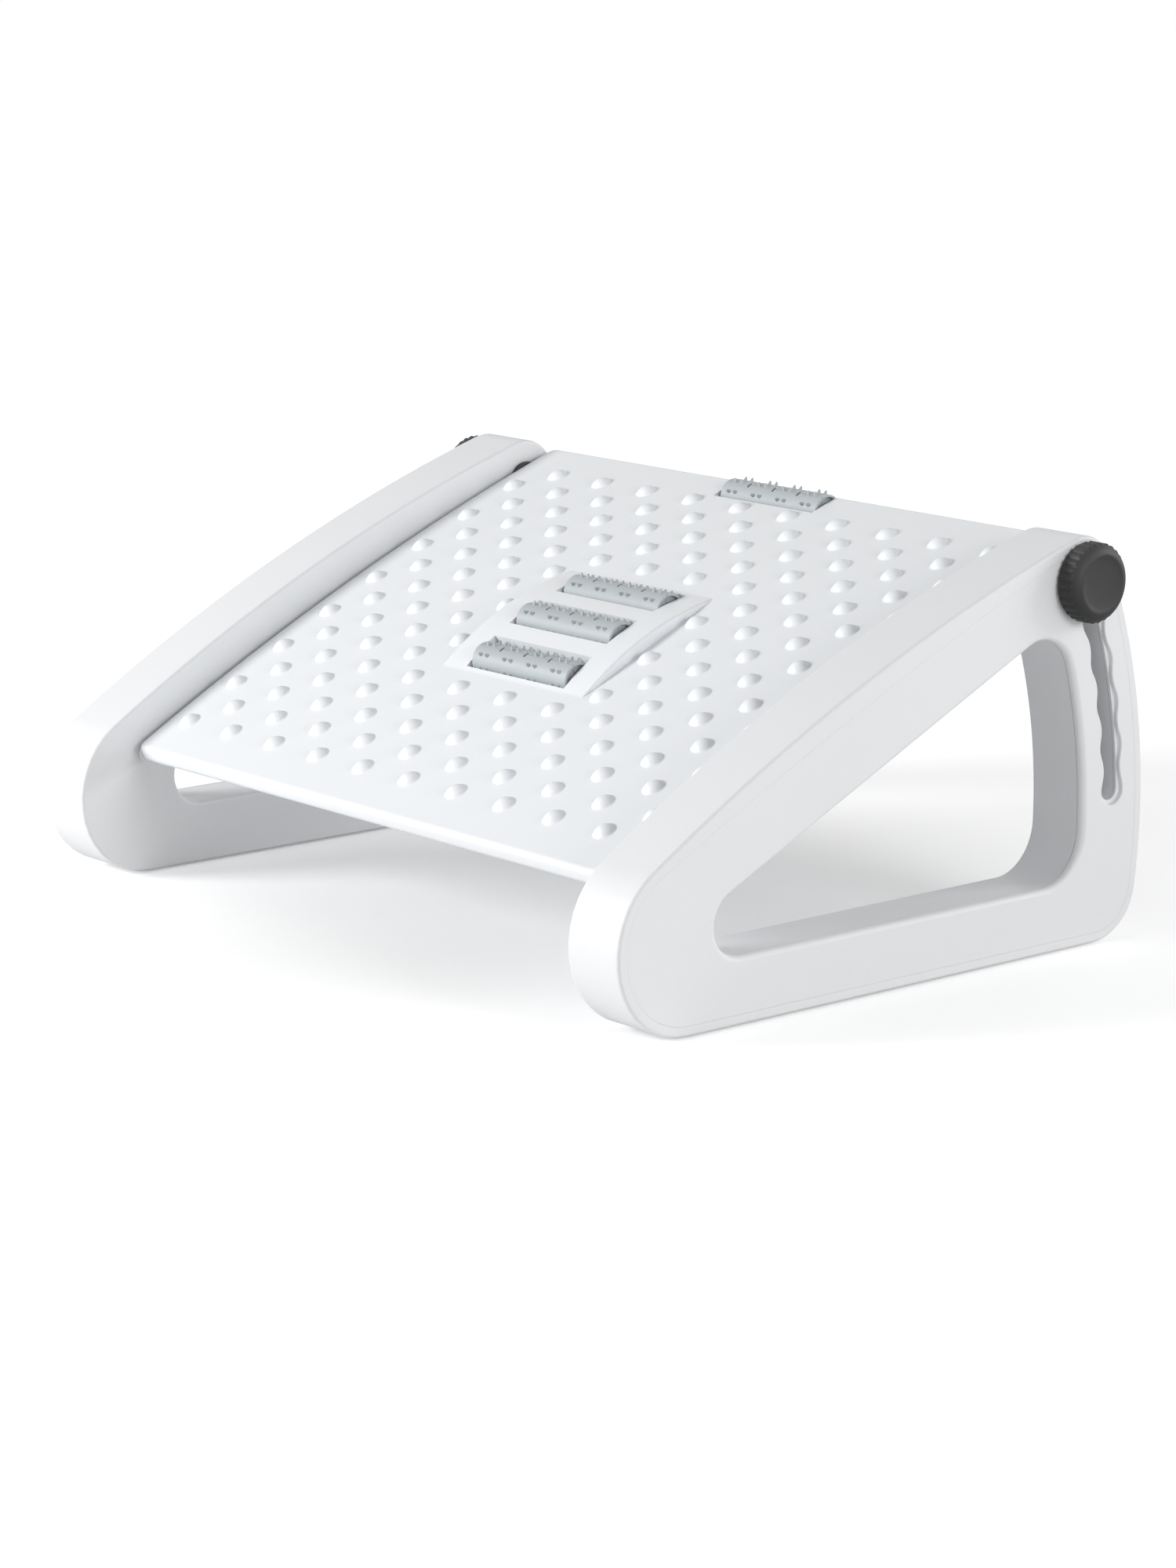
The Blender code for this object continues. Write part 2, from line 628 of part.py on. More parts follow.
def board_hollow():
    """What the board leaves open underneath: all but its ribs, bosses and roller wells."""
    wall = SKIRT_WALL
    side = board_side(
        BOARD_WIDTH / 2 - wall, NOSE_WALL - BOARD_NOSE, BOARD_REACH - wall, BOARD_CORNER - wall
    )
    sharp = (0.0, 0.0)
    hollow = crowned_solid(
        "hollow", side, lambda u: crown(u) - PLATE, lambda u: -FAR, sharp, sharp, 0
    )
    join(hollow, arched_block("bridge_core", BRIDGE_WIDTH / 2 - wall, PLATE, -FAR / 2))
    half_rib = RIB / 2
    beyond = BOARD_REACH + FAR
    ribs = round(BOARD_WIDTH / 2 / RIB_SPACING_X) - 1
    for k in range(-ribs, ribs + 1):
        if k:
            x = k * RIB_SPACING_X
            cut(hollow, box("rib", (x - half_rib, x + half_rib), (-FAR, beyond), (-RIB_DROP, FAR)))
    for sign in (-1, 1):
        u = CROWN_MIDDLE + sign * RIB_SHARE * BOARD_REACH
        rib = ((-BOARD_WIDTH, BOARD_WIDTH), (u - half_rib, u + half_rib), (-RIB_DROP, FAR))
        cut(hollow, box("rib", *rib))
    well_x = WINDOW_WIDTH / 2 + WELL_WALL
    well_s = WELL_PITCH + WINDOW_LENGTH / 2 + WELL_WALL
    wells_u = (CROWN_MIDDLE - well_s, CROWN_MIDDLE + well_s)
    cut(hollow, box("wells", (-well_x, well_x), wells_u, (0, FAR)))
    edge_u = roller_places()["edge_roller"][0] - WINDOW_LENGTH / 2 - WELL_WALL
    cut(hollow, box("edge_well", (-well_x, well_x), (edge_u, beyond), (-SKIRT_DROP, FAR)))
    for side_sign in (-1, 1):
        face = side_sign * BOARD_WIDTH / 2
        insert_end = face - side_sign * (INSERT_LENGTH + 2 * GAP + BOSS_FLOOR)
        radius = INSERT_RADIUS + GAP + INSERT_WALL
        cut(hollow, rod("insert_boss", insert_end, face, radius, (SLOT_RADIUS, 0), 12))
    return hollow


def bumps():
    """The massage bumps, staggered, and left out where the bridge stands."""
    bm = bmesh.new()
    first_u = CROWN_MIDDLE - (BUMP_ROWS - 0.5) / 2 * BUMP_PITCH_U
    first_x = -(BUMP_COLUMNS - 0.5) / 2 * BUMP_PITCH_X
    for half_row in range(2 * BUMP_ROWS):
        u = first_u + half_row * BUMP_PITCH_U / 2
        for column in range(BUMP_COLUMNS):
            x = first_x + (column + half_row % 2 / 2) * BUMP_PITCH_X
            past_side = abs(x) - BRIDGE_WIDTH / 2
            past_end = abs(u - CROWN_MIDDLE) - BRIDGE_LENGTH / 2
            if max(past_side, past_end) < BUMP_RADIUS:
                continue
            height = BUMP_HEIGHT + PLATE / 4
            bmesh.ops.create_cone(
                bm,
                cap_ends=True,
                segments=BUMP_SIDES,
                radius1=BUMP_RADIUS,
                radius2=0,
                depth=height,
                matrix=Matrix.Translation((x, u, crown(u) + BUMP_HEIGHT - height / 2)),
            )
    return object_of("bumps", bm)


def axle_slots(u, v):
    """Cutters for the axle's seats: a round end, and a way in from below with a snap neck."""
    seat = AXLE_RADIUS + GAP
    half_x = WINDOW_WIDTH / 2 + WELL_WALL + PAST
    neck = seat * NECK_SHARE
    way = box("way", (-half_x, half_x), (u - neck, u + neck), (-FAR, v))
    return join(rod("seat", -half_x, half_x, seat, (u, v), 12), way)


def footboard(name, finish):
    board = board_blank(name, finish)
    join(board, arched_block("bridge", BRIDGE_WIDTH / 2, 0, CROWN_HEIGHT - PLATE * 0.6))
    join(board, bumps())
    cut(board, board_hollow())
    half_x = WINDOW_WIDTH / 2
    half_u = WINDOW_LENGTH / 2
    for roller, (u, v) in roller_places().items():
        end = BOARD_REACH + FAR if roller == "edge_roller" else u + half_u
        cut(board, box("window", (-half_x, half_x), (u - half_u, end), (-FAR, FAR)))
        cut(board, axle_slots(u, v))
    space = WELL_PITCH / 2 - half_u - WELL_WALL * 0.8
    for sign in (-1, 1):
        u = CROWN_MIDDLE + sign * WELL_PITCH / 2
        ceiling = arch(WELL_PITCH / 2 + space) - PLATE
        cut(board, box("space", (-half_x, half_x), (u - space, u + space), (-FAR, ceiling)))
        face = sign * BOARD_WIDTH / 2
        outside = face + sign * PAST
        pin_end = face - sign * (PIN_REACH + GAP)
        boss = (pin_end - sign * BOSS_FLOOR, face - sign * EDGE_RADIUS)
        join(board, rod("pin_boss", *boss, PIN_RADIUS + GAP + BOARD_BOSS_WALL, sides=12))
        cut(board, rod("pin_bore", pin_end, outside, PIN_RADIUS + GAP, sides=12))
        insert_end = face - sign * (INSERT_LENGTH + 2 * GAP)
        radius = INSERT_RADIUS + GAP
        cut(board, rod("insert_bore", insert_end, outside, radius, (SLOT_RADIUS, 0), 12))
    return board


def roller_half(name, turn, finish):
    """Half of a roller: a shell with a web at each end for the axle, and rows of nubs."""
    half = ROLLER_LENGTH / 2
    inside = ROLLER_RADIUS - ROLLER_WALL
    web = half - ROLLER_MOUTH
    bore = AXLE_RADIUS + GAP
    end = [
        (half, ROLLER_RADIUS),
        (half, inside),
        (web, inside),
        (web, bore),
        (web - ROLLER_WEB, bore),
        (web - ROLLER_WEB, inside),
    ]
    profile = end + [(-x, radius) for x, radius in reversed(end)]
    bm = bmesh.new()
    seam = GAP / 2
    rings = []
    for a in span(0.0, math.pi, 6):
        y, z = -math.sin(a), math.cos(a)
        rings.append([(x, radius * y - seam, radius * z) for x, radius in profile])
    ring_stack(bm, rings)
    shell = object_of(name, bm, finish)
    join(shell, roller_nubs())
    if turn:
        shell.data.transform(Matrix.Rotation(turn, 4, "X"))
    return shell


def roller_nubs():
    """Four rows of pointed nubs, in pairs."""
    bm = bmesh.new()
    rows = round(math.pi / NUB_ROW_STEP)
    pitch = (ROLLER_LENGTH - 2 * NUB_MARGIN) / (NUB_GROUPS - 1)
    for row in range(rows):
        out = NUB_LEAD + row * NUB_ROW_STEP
        for group in range(NUB_GROUPS):
            for sign in (-1, 1):
                x = (group - (NUB_GROUPS - 1) / 2) * pitch + sign * NUB_PAIR / 2
                foot = ROLLER_RADIUS - ROLLER_WALL / 2
                height = NUB_HEIGHT + ROLLER_WALL / 2
                stand = Matrix.Rotation(out, 4, "X") @ Matrix.Translation((x, 0, foot + height / 2))
                bmesh.ops.create_cone(
                    bm,
                    cap_ends=True,
                    segments=NUB_SIDES,
                    radius1=NUB_RADIUS,
                    radius2=0,
                    depth=height,
                    matrix=Matrix.Translation((0, -GAP / 2, 0)) @ stand,
                )
    return object_of("nubs", bm)


def roller_axle(name, finish):
    half = WINDOW_WIDTH / 2 + WELL_WALL - AXLE_END_PLAY
    return rod(name, -half, half, AXLE_RADIUS, sides=12, finish=finish)


def threaded_insert(name, finish):
    ends = (-SIDE_GAP - GAP - INSERT_LENGTH, -SIDE_GAP - GAP)
    return washer(name, *ends, INSERT_RADIUS, STUD_RADIUS + GAP, sides=12, finish=finish)


def clamp_spacer(name, finish):
    ends = (GAP - SIDE_GAP, -GAP)
    return washer(name, *ends, CLAMP_SPACER_RADIUS, STUD_RADIUS + GAP, finish=finish)


def clamp_collar(name, finish):
    """A flange on the frame's outer face, with a boss that runs in the slot."""
    seat = FRAME_THICKNESS + GAP
    boss = CHANNEL_WIDTH / 2 - GAP
    profile = [
        (seat - COLLAR_BOSS_LENGTH, boss),
        (seat, boss),
        (seat, FLANGE_RADIUS),
        (seat + FLANGE, FLANGE_RADIUS),
    ]
    collar = turned(name, profile, 18, finish=finish)
    return cut(collar, rod("bore", 0, seat + FLANGE + PAST, STUD_RADIUS + GAP, sides=12))


def knob(name, finish):
    """A scalloped clamp knob with a dished face and a recess over the collar's flange."""
    base = FRAME_THICKNESS + KNOB_STAND_OFF
    grip = base + KNOB_BAND
    shoulder = grip + KNOB_GRIP
    top = FRAME_THICKNESS + KNOB_HEIGHT
    soft = KNOB_SCALLOP * 0.7
    profile = [
        (base, KNOB_BAND_RADIUS),
        (grip, KNOB_BAND_RADIUS),
        (grip + soft / 2, KNOB_GRIP_RADIUS, True),
        (shoulder, KNOB_GRIP_RADIUS, True),
        (top, KNOB_FACE_RADIUS),
        (top - KNOB_DISH, KNOB_FACE_RADIUS * 0.8),
    ]
    sides = 2 * KNOB_SCALLOPS
    made = turned(name, profile, sides, (0, 0), finish, KNOB_SCALLOP, KNOB_SCALLOPS)
    recess = FRAME_THICKNESS + FLANGE + 2 * GAP
    cut(made, rod("recess", base - PAST, recess, FLANGE_RADIUS + 2 * GAP, sides=18))
    bore = FRAME_THICKNESS + KNOB_BORE_DEPTH
    return cut(made, rod("bore", base - PAST, bore, STUD_RADIUS + GAP, sides=12))


def knob_stud(name, finish):
    inner = -SIDE_GAP - GAP - STUD_ENGAGEMENT
    outer = FRAME_THICKNESS + KNOB_BORE_DEPTH - GAP
    chamfer = STUD_RADIUS / 4
    profile = [
        (inner, STUD_RADIUS - chamfer),
        (inner + chamfer, STUD_RADIUS),
        (outer, STUD_RADIUS),
    ]
    return turned(name, profile, 12, finish=finish)


def empty(name, location, parent=None, tilt=0.0):
    made = bpy.data.objects.new(name, None)
    made.location = location
    made.rotation_euler.x = tilt
    made.parent = parent
    bpy.context.scene.collection.objects.link(made)
    return made


def place(obj, parent, location=(0, 0, 0), mirror=False):
    """Hangs a piece on its empty. A left-hand piece is the mirror image of the right-hand one."""
    if mirror:
        obj.data.transform(Matrix.Scale(-1, 4, Vector((1, 0, 0))))
        obj.data.flip_normals()
    obj.parent = parent
    obj.location = location
    obj.data.shade_smooth()
    obj.data.set_sharp_from_angle(angle=35 * DEGREE)


def build_side(side, mirror, board_pivot, finishes):
    """One side frame and one clamp, on empties at the frame's inner face."""
    inner = -INNER_FACE if mirror else INNER_FACE
    frame = empty(side + "_frame", (inner, 0, 0))
    pivot = (0, *PIVOT)
    place(inner_shell(side + "_inner_shell", finishes["frame"]), frame, mirror=mirror)
    place(outer_cover(side + "_outer_cover", finishes["frame"]), frame, mirror=mirror)
    strip = foot_solid(side + "_foot_strip", 0, 0, STRIP_THICKNESS, finishes["rubber"])
    place(strip, frame, mirror=mirror)
    place(pivot_pin(side + "_pivot_pin", finishes["steel"]), frame, pivot, mirror)
    place(pivot_spacer(side + "_pivot_spacer", finishes["frame"]), frame, pivot, mirror)
    for k, (y, z) in enumerate(screw_places()):
        screw = frame_screw(f"{side}_frame_screw_{k + 1}", finishes["steel"])
        place(screw, frame, (0, y, z), mirror)
    clamp = empty(side + "_clamp", (inner, SLOT_RADIUS, 0), board_pivot)
    place(threaded_insert(side + "_threaded_insert", finishes["brass"]), clamp, mirror=mirror)
    place(clamp_spacer(side + "_clamp_spacer", finishes["black"]), clamp, mirror=mirror)
    place(clamp_collar(side + "_clamp_collar", finishes["black"]), clamp, mirror=mirror)
    place(knob(side + "_knob", finishes["knob"]), clamp, mirror=mirror)
    place(knob_stud(side + "_knob_stud", finishes["steel"]), clamp, mirror=mirror)


def build_rollers(board_pivot, finishes):
    for name, (u, v) in roller_places().items():
        axis = empty(name, (0, u, v), board_pivot, ROLLER_TURNS[name])
        place(roller_half(name + "_front_half", 0, finishes["roller"]), axis)
        place(roller_half(name + "_rear_half", math.pi, finishes["roller"]), axis)
        place(roller_axle(name + "_axle", finishes["steel"]), axis)


def build():
    clear_scene()
    finishes = {
        "board": material("board_plastic", (0.83, 0.86, 0.88), 0.42),
        "frame": material("frame_plastic", (0.80, 0.81, 0.83), 0.45),
        "roller": material("roller_plastic", (0.50, 0.54, 0.55), 0.5),
        "knob": material("knob_plastic", (0.045, 0.045, 0.047), 0.55),
        "black": material("spacer_plastic", (0.03, 0.03, 0.03), 0.5),
        "rubber": material("foot_rubber", (0.06, 0.06, 0.06), 0.8),
        "steel": material("zinc_steel", (0.60, 0.61, 0.62), 0.35, 1.0),
        "brass": material("insert_brass", (0.70, 0.52, 0.25), 0.35, 1.0),
    }
    board_pivot = empty("board_pivot", (0, *PIVOT), tilt=TILT_HIGH)
    place(footboard("footboard", finishes["board"]), board_pivot)
    build_rollers(board_pivot, finishes)
    for side, mirror in (("right", False), ("left", True)):
        build_side(side, mirror, board_pivot, finishes)
    bpy.context.view_layer.update()


build()
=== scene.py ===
import math

import bmesh
import bpy
import numpy as np
from mathutils import Matrix, Vector


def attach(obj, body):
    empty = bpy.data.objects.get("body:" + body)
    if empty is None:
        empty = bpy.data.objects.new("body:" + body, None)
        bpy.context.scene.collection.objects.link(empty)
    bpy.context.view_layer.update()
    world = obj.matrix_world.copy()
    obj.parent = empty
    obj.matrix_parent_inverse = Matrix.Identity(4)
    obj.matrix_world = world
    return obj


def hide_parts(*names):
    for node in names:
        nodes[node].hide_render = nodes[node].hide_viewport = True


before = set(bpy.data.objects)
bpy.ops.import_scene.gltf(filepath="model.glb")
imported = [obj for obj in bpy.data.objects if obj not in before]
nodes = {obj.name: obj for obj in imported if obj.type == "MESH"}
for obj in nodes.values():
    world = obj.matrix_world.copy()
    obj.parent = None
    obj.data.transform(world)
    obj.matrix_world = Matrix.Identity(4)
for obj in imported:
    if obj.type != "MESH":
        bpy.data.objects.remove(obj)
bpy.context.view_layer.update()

# Camera, looking down at the footrest from its front right-hand corner with a
# long lens, and tilted by half a degree.
camera_data = bpy.data.cameras.new("camera")
camera_data.lens = 101.54
camera_data.sensor_width = 36
camera_data.clip_end = 40
camera = bpy.data.objects.new("camera", camera_data)
bpy.context.scene.collection.objects.link(camera)
camera_right = Vector((0.65731, 0.75357, 0.00836))
camera_up = Vector((-0.16775, 0.13549, 0.97647))
camera_back = camera_right.cross(camera_up)
turn = Matrix((camera_right, camera_up, camera_back)).transposed().to_4x4()
camera.matrix_world = Matrix.Translation((1.6104, -1.4040, 0.5320)) @ turn
bpy.context.scene.camera = camera

# Studio: a white floor under a white surround, and three low soft lamps, a strong one
# in front, one beside the right-hand end and a weak one behind it.
bpy.context.scene.view_settings.view_transform = "Standard"
bpy.ops.object.select_all(action="DESELECT")
bpy.ops.mesh.primitive_plane_add(size=14, location=(0, 0, 0))
floor = bpy.context.object
floor.name = floor.data.name = "studio_floor"
floor_finish = bpy.data.materials.new("studio_floor")
floor_finish.use_nodes = True
floor_nodes = floor_finish.node_tree.nodes
floor_shader = floor_nodes["Principled BSDF"]
floor_shader.inputs["Base Color"].default_value = (0.88, 0.88, 0.88, 1)
floor_shader.inputs["Roughness"].default_value = 0.9
floor_shader.inputs["Specular IOR Level"].default_value = 0.1
floor_shader.inputs["Emission Color"].default_value = (1, 1, 1, 1)
seen = floor_nodes.new("ShaderNodeLightPath")
reach = floor_nodes.new("ShaderNodeVectorMath")
reach.operation = "LENGTH"
ground = floor_nodes.new("ShaderNodeTexCoord")
fades = []
for start, end, least, most in ((0.05, 0.32, 0.11, 0.42), (0.4, 2.5, 0.0, 0.6)):
    fade = floor_nodes.new("ShaderNodeMapRange")
    fade.interpolation_type = "SMOOTHSTEP"
    fade.inputs["From Min"].default_value = start
    fade.inputs["From Max"].default_value = end
    fade.inputs["To Min"].default_value = least
    fade.inputs["To Max"].default_value = most
    floor_finish.node_tree.links.new(reach.outputs["Value"], fade.inputs["Value"])
    fades.append(fade.outputs["Result"])
both = floor_nodes.new("ShaderNodeMath")
both.operation = "ADD"
glow = floor_nodes.new("ShaderNodeMath")
glow.operation = "MULTIPLY"
floor_finish.node_tree.links.new(ground.outputs["Object"], reach.inputs[0])
floor_finish.node_tree.links.new(fades[0], both.inputs[0])
floor_finish.node_tree.links.new(fades[1], both.inputs[1])
floor_finish.node_tree.links.new(both.outputs[0], glow.inputs[1])
floor_finish.node_tree.links.new(seen.outputs["Is Camera Ray"], glow.inputs[0])
floor_finish.node_tree.links.new(glow.outputs[0], floor_shader.inputs["Emission Strength"])
floor.data.materials.append(floor_finish)

world = bpy.data.worlds.new("studio")
world.use_nodes = True
bpy.context.scene.world = world
world_nodes = world.node_tree.nodes
world_nodes.clear()
surround = world_nodes.new("ShaderNodeBackground")
surround.inputs["Color"].default_value = (1, 1, 1, 1)
path = world_nodes.new("ShaderNodeLightPath")
world_links = world.node_tree.links
shown = path.outputs["Is Camera Ray"]
for ray in ("Is Glossy Ray", "Is Transmission Ray"):
    either = world_nodes.new("ShaderNodeMath")
    either.operation = "MAXIMUM"
    world_links.new(shown, either.inputs[0])
    world_links.new(path.outputs[ray], either.inputs[1])
    shown = either.outputs[0]
level = world_nodes.new("ShaderNodeMapRange")
level.inputs["To Min"].default_value = 0.31
level.inputs["To Max"].default_value = 1.0
world_links.new(shown, level.inputs["Value"])
world_links.new(level.outputs["Result"], surround.inputs["Strength"])
output = world_nodes.new("ShaderNodeOutputWorld")
world_links.new(surround.outputs[0], output.inputs["Surface"])


def soft_lamp(name, place, aim, size, watts):
    lamp_data = bpy.data.lights.new(name, "AREA")
    lamp_data.shape = "DISK"
    lamp_data.size = size
    lamp_data.energy = watts
    lamp = bpy.data.objects.new(name, lamp_data)
    lamp.location = place
    lamp.rotation_euler = (Vector(aim) - Vector(place)).to_track_quat("-Z", "Y").to_euler()
    bpy.context.scene.collection.objects.link(lamp)


soft_lamp("front_lamp", (-1.22, -2.12, 0.89), (0, 0, 0.1), 1.0, 57)
soft_lamp("side_lamp", (2.44, 0, 0.89), (0, 0, 0.1), 1.0, 20)
soft_lamp("rear_lamp", (1.22, 2.12, 0.89), (0, 0, 0.1), 1.0, 18)

# Side frames: two hollow triangular mouldings in white plastic. Each is a deep inner
# shell and a flush outer cover, held by four screws from the inner face, with a wavy
# slot of six rest positions for the clamp.
MM = 0.001
BOARD_WIDTH = 366 * MM
SIDE_GAP = 3 * MM
FRAME_FACE = BOARD_WIDTH / 2 + SIDE_GAP
FRAME_THICKNESS = 34 * MM
FRAME_DEPTH = 337 * MM
FRAME_BASE = 1 * MM
NOSE_RADIUS = 42 * MM
HEEL_RADIUS = 28 * MM
TOP_BOW = 1100 * MM
SLOT_RADIUS = 277.2 * MM
SLOT_TO_REAR = 21.3 * MM
REAR_RADIUS = SLOT_RADIUS + SLOT_TO_REAR
PIVOT = np.array([FRAME_DEPTH / 2 - REAR_RADIUS, 63 * MM])
TILT = math.radians(24.8)
SLOT_STEPS = 5
LOWEST_TILT = TILT - math.radians(SLOT_STEPS * 4.47)
HOLE_REAR = REAR_RADIUS - 41.3 * MM
HOLE_SILL = FRAME_BASE + 31.7 * MM
HOLE_TOE = PIVOT[0] + 35 * MM
HOLE_TOE_RADIUS = 15.5 * MM
HOLE_HEEL_RADIUS = 25 * MM
HOLE_CREST_RADIUS = 20 * MM
HOLE_CREST_TILT = math.radians(17.24)
FRAME_WALL = 3 * MM
COVER_THICKNESS = 4 * MM
SEAM = 5 * MM
SEAM_BOW = 2500 * MM
SEAM_GAP = 0.1 * MM
SEAM_CHAMFER = 0.06 * MM
CHANNEL_WIDTH = 10.4 * MM
RECESS_DEPTH = 2.5 * MM
SCREW_PLACES_MM = ((-60.8, 94.97), (48.66, 145.55), (128.35, 27), (70, 16.85))
SCREW_PLACES = [(y * MM, z * MM) for y, z in SCREW_PLACES_MM]
SCREW_BORE = 2.05 * MM
COUNTERBORE_RADIUS = 3.8 * MM
COUNTERBORE_DEPTH = 3.0 * MM
POST_RADIUS = 5 * MM
POST_HEIGHT = 11 * MM
COVER_POST_RADIUS = 4 * MM
SLOT_WALL = 2.5 * MM
PIN_BOSS_RADIUS = 8 * MM
PIN_BOSS_HEIGHT = 3 * MM
PIN_BORE = 2.3 * MM
INNER_EDGE = 1.6 * MM
OUTER_EDGE = 1.8 * MM
SHELL_HOLE_EDGE = 2.4 * MM
SHELL_SLOT_EDGE = 0.8 * MM
COVER_HOLE_EDGE = 3.0 * MM
COVER_RECESS_EDGE = 0.7 * MM
GAP = 0.3 * MM
PAST = 1 * MM


def span(start, end, steps):
    return [start + (end - start) * k / steps for k in range(steps + 1)]


def polar(angle, radius, centre=(0, 0)):
    return np.array(centre) + radius * np.array([math.cos(angle), math.sin(angle)])


def bow_ends(a, ra, b, rb, bow):
    """The normals where a bow leaves circle a and meets circle b, and the bow's centre."""
    chord = b - a
    length = np.linalg.norm(chord)
    if bow is None:
        angle = math.atan2(chord[1], chord[0]) - math.acos((ra - rb) / length)
        return angle, angle, None
    to_a, to_b = bow - ra, bow - rb
    along = (length**2 + to_a**2 - to_b**2) / (2 * length)
    across = math.sqrt(to_a**2 - along**2)
    centre = a + (chord * along + np.array([-chord[1], chord[0]]) * across) / length
    leaves, meets = a - centre, b - centre
    return math.atan2(leaves[1], leaves[0]), math.atan2(meets[1], meets[0]), centre


def rounded_loop(corners, bows, inset, corner_steps=16, bow_steps=22):
    """An outline through corner circles, joined by straight lines or by bows."""
    circles = [(np.array([y, z]), radius - inset) for y, z, radius in corners]
    links = []
    for i, bow in enumerate(bows):
        (a, ra), (b, rb) = circles[i], circles[(i + 1) % len(circles)]
        links.append(bow_ends(a, ra, b, rb, bow and bow - inset))
    points = []
    for i, (centre, radius) in enumerate(circles):
        start = links[i - 1][1]
        sweep = (links[i][0] - start) % (2 * math.pi)
        points += [polar(a, radius, centre) for a in span(start, start + sweep, corner_steps)]
        leaves, meets, middle = links[i]
        if middle is not None:
            sweep = (meets - leaves) % (2 * math.pi)
            stations = span(leaves, leaves + sweep, bow_steps)[1:-1]
            points += [polar(a, bows[i] - inset, middle) for a in stations]
    return points


def frame_corners():
    nose = (NOSE_RADIUS - FRAME_DEPTH / 2, FRAME_BASE + NOSE_RADIUS, NOSE_RADIUS)
    heel_z = FRAME_BASE + HEEL_RADIUS
    reach = math.sqrt((REAR_RADIUS - HEEL_RADIUS) ** 2 - (heel_z - PIVOT[1]) ** 2)
    crest = polar(TILT, SLOT_RADIUS, PIVOT)
    return nose, (PIVOT[0] + reach, heel_z, HEEL_RADIUS), (*crest, SLOT_TO_REAR)


def frame_outline(inset):
    return rounded_loop(frame_corners(), (None, REAR_RADIUS, TOP_BOW), inset)


def seam_outline(inset):
    corners = [(y, z, radius - SEAM) for y, z, radius in frame_corners()]
    return rounded_loop(corners, (None, REAR_RADIUS - SEAM, SEAM_BOW), inset)


def hole_outline(inset):
    toe = (HOLE_TOE, HOLE_SILL + HOLE_TOE_RADIUS, HOLE_TOE_RADIUS)
    heel_z = HOLE_SILL + HOLE_HEEL_RADIUS
    reach = math.sqrt((HOLE_REAR - HOLE_HEEL_RADIUS) ** 2 - (heel_z - PIVOT[1]) ** 2)
    heel = (PIVOT[0] + reach, heel_z, HOLE_HEEL_RADIUS)
    crest = polar(HOLE_CREST_TILT, HOLE_REAR - HOLE_CREST_RADIUS, PIVOT)
    corners = (toe, heel, (*crest, HOLE_CREST_RADIUS))
    return rounded_loop(corners, (None, HOLE_REAR, None), inset, 14, 18)


def slot_outline(half_width, steps):
    """A curved slot about the board's pivot, whose half width may change along it."""
    stations = span(0.0, 1.0, steps)

    def angle(t):
        return LOWEST_TILT + t * (TILT - LOWEST_TILT)

    points = [polar(angle(t), SLOT_RADIUS + half_width(t), PIVOT) for t in stations]
    for t, start in ((1.0, angle(1.0)), (0.0, angle(0.0) + math.pi)):
        middle = polar(angle(t), SLOT_RADIUS, PIVOT)
        points += [polar(a, half_width(t), middle) for a in span(start, start + math.pi, 14)[1:-1]]
        if t == 1.0:
            back = stations[::-1]
            points += [polar(angle(s), SLOT_RADIUS - half_width(s), PIVOT) for s in back]
    return points


def channel_outline(inset):
    return slot_outline(lambda t: CHANNEL_WIDTH / 2 - inset, 40)


def recess_outline(inset):
    """The recess round the channel, which widens at each rest position."""
    narrowest, swell = 5.4, 1.9

    def wave(t):
        lobe = (0.5 + 0.5 * math.cos(2 * SLOT_STEPS * math.pi * t)) ** 1.2
        return (narrowest + swell * lobe) * MM - inset

    return slot_outline(wave, 60)


def extruded(name, rings):
    """A solid from a filled ring, whose end face is extruded to each next ring."""
    bpy.ops.object.select_all(action="DESELECT")
    bpy.ops.mesh.primitive_circle_add(vertices=len(rings[0]), fill_type="NGON")
    piece = bpy.context.object
    piece.name = piece.data.name = name
    bpy.ops.object.mode_set(mode="EDIT")
    shape = bmesh.from_edit_mesh(piece.data)
    number = shape.verts.layers.int.new("number")
    for k, corner in enumerate(shape.verts):
        corner[number] = k
        corner.co = rings[0][k]
    for ring in rings[1:]:
        bpy.ops.mesh.extrude_region_move()
        shape = bmesh.from_edit_mesh(piece.data)
        number = shape.verts.layers.int["number"]
        for corner in shape.verts:
            if corner.select:
                corner.co = ring[corner[number]]
    bmesh.update_edit_mesh(piece.data)
    bpy.ops.mesh.select_all(action="SELECT")
    bpy.ops.mesh.normals_make_consistent(inside=False)
    bpy.ops.object.mode_set(mode="OBJECT")
    piece.data.attributes.remove(piece.data.attributes["number"])
    return piece


def along_x(name, outline, levels):
    """A solid through (x, inset) levels of an outline in the side view."""
    return extruded(name, [[(x, y, z) for y, z in outline(inset)] for x, inset in levels])


def rounded_ends(x0, x1, edge0, edge1, steps=6):
    quarter = span(0.0, math.pi / 2, steps)
    low = [(x0 + edge0 * (1 - math.cos(a)), edge0 * (1 - math.sin(a))) for a in quarter]
    high = [(x1 - edge1 * (1 - math.cos(a)), edge1 * (1 - math.sin(a))) for a in quarter]
    return low + high[::-1]


def mouth(name, outline, face, end, edge, steps=5):
    """A cutter that rounds the edge of its opening at the face and runs on to its end."""
    out = 1 if end > face else -1
    quarter = span(0.0, math.pi / 2, steps)
    levels = [(face - out * PAST, -edge)]
    levels += [(face + out * edge * (1 - math.cos(a)), -edge * (1 - math.sin(a))) for a in quarter]
    return along_x(name, outline, levels + [(end, 0.0)])


def bar(name, x0, x1, radius, centre=(0, 0), sides=24):
    ring = [polar(2 * math.pi * k / sides, radius, centre) for k in range(sides)]
    return extruded(name, [[(x, y, z) for y, z in ring] for x in (x0, x1)])


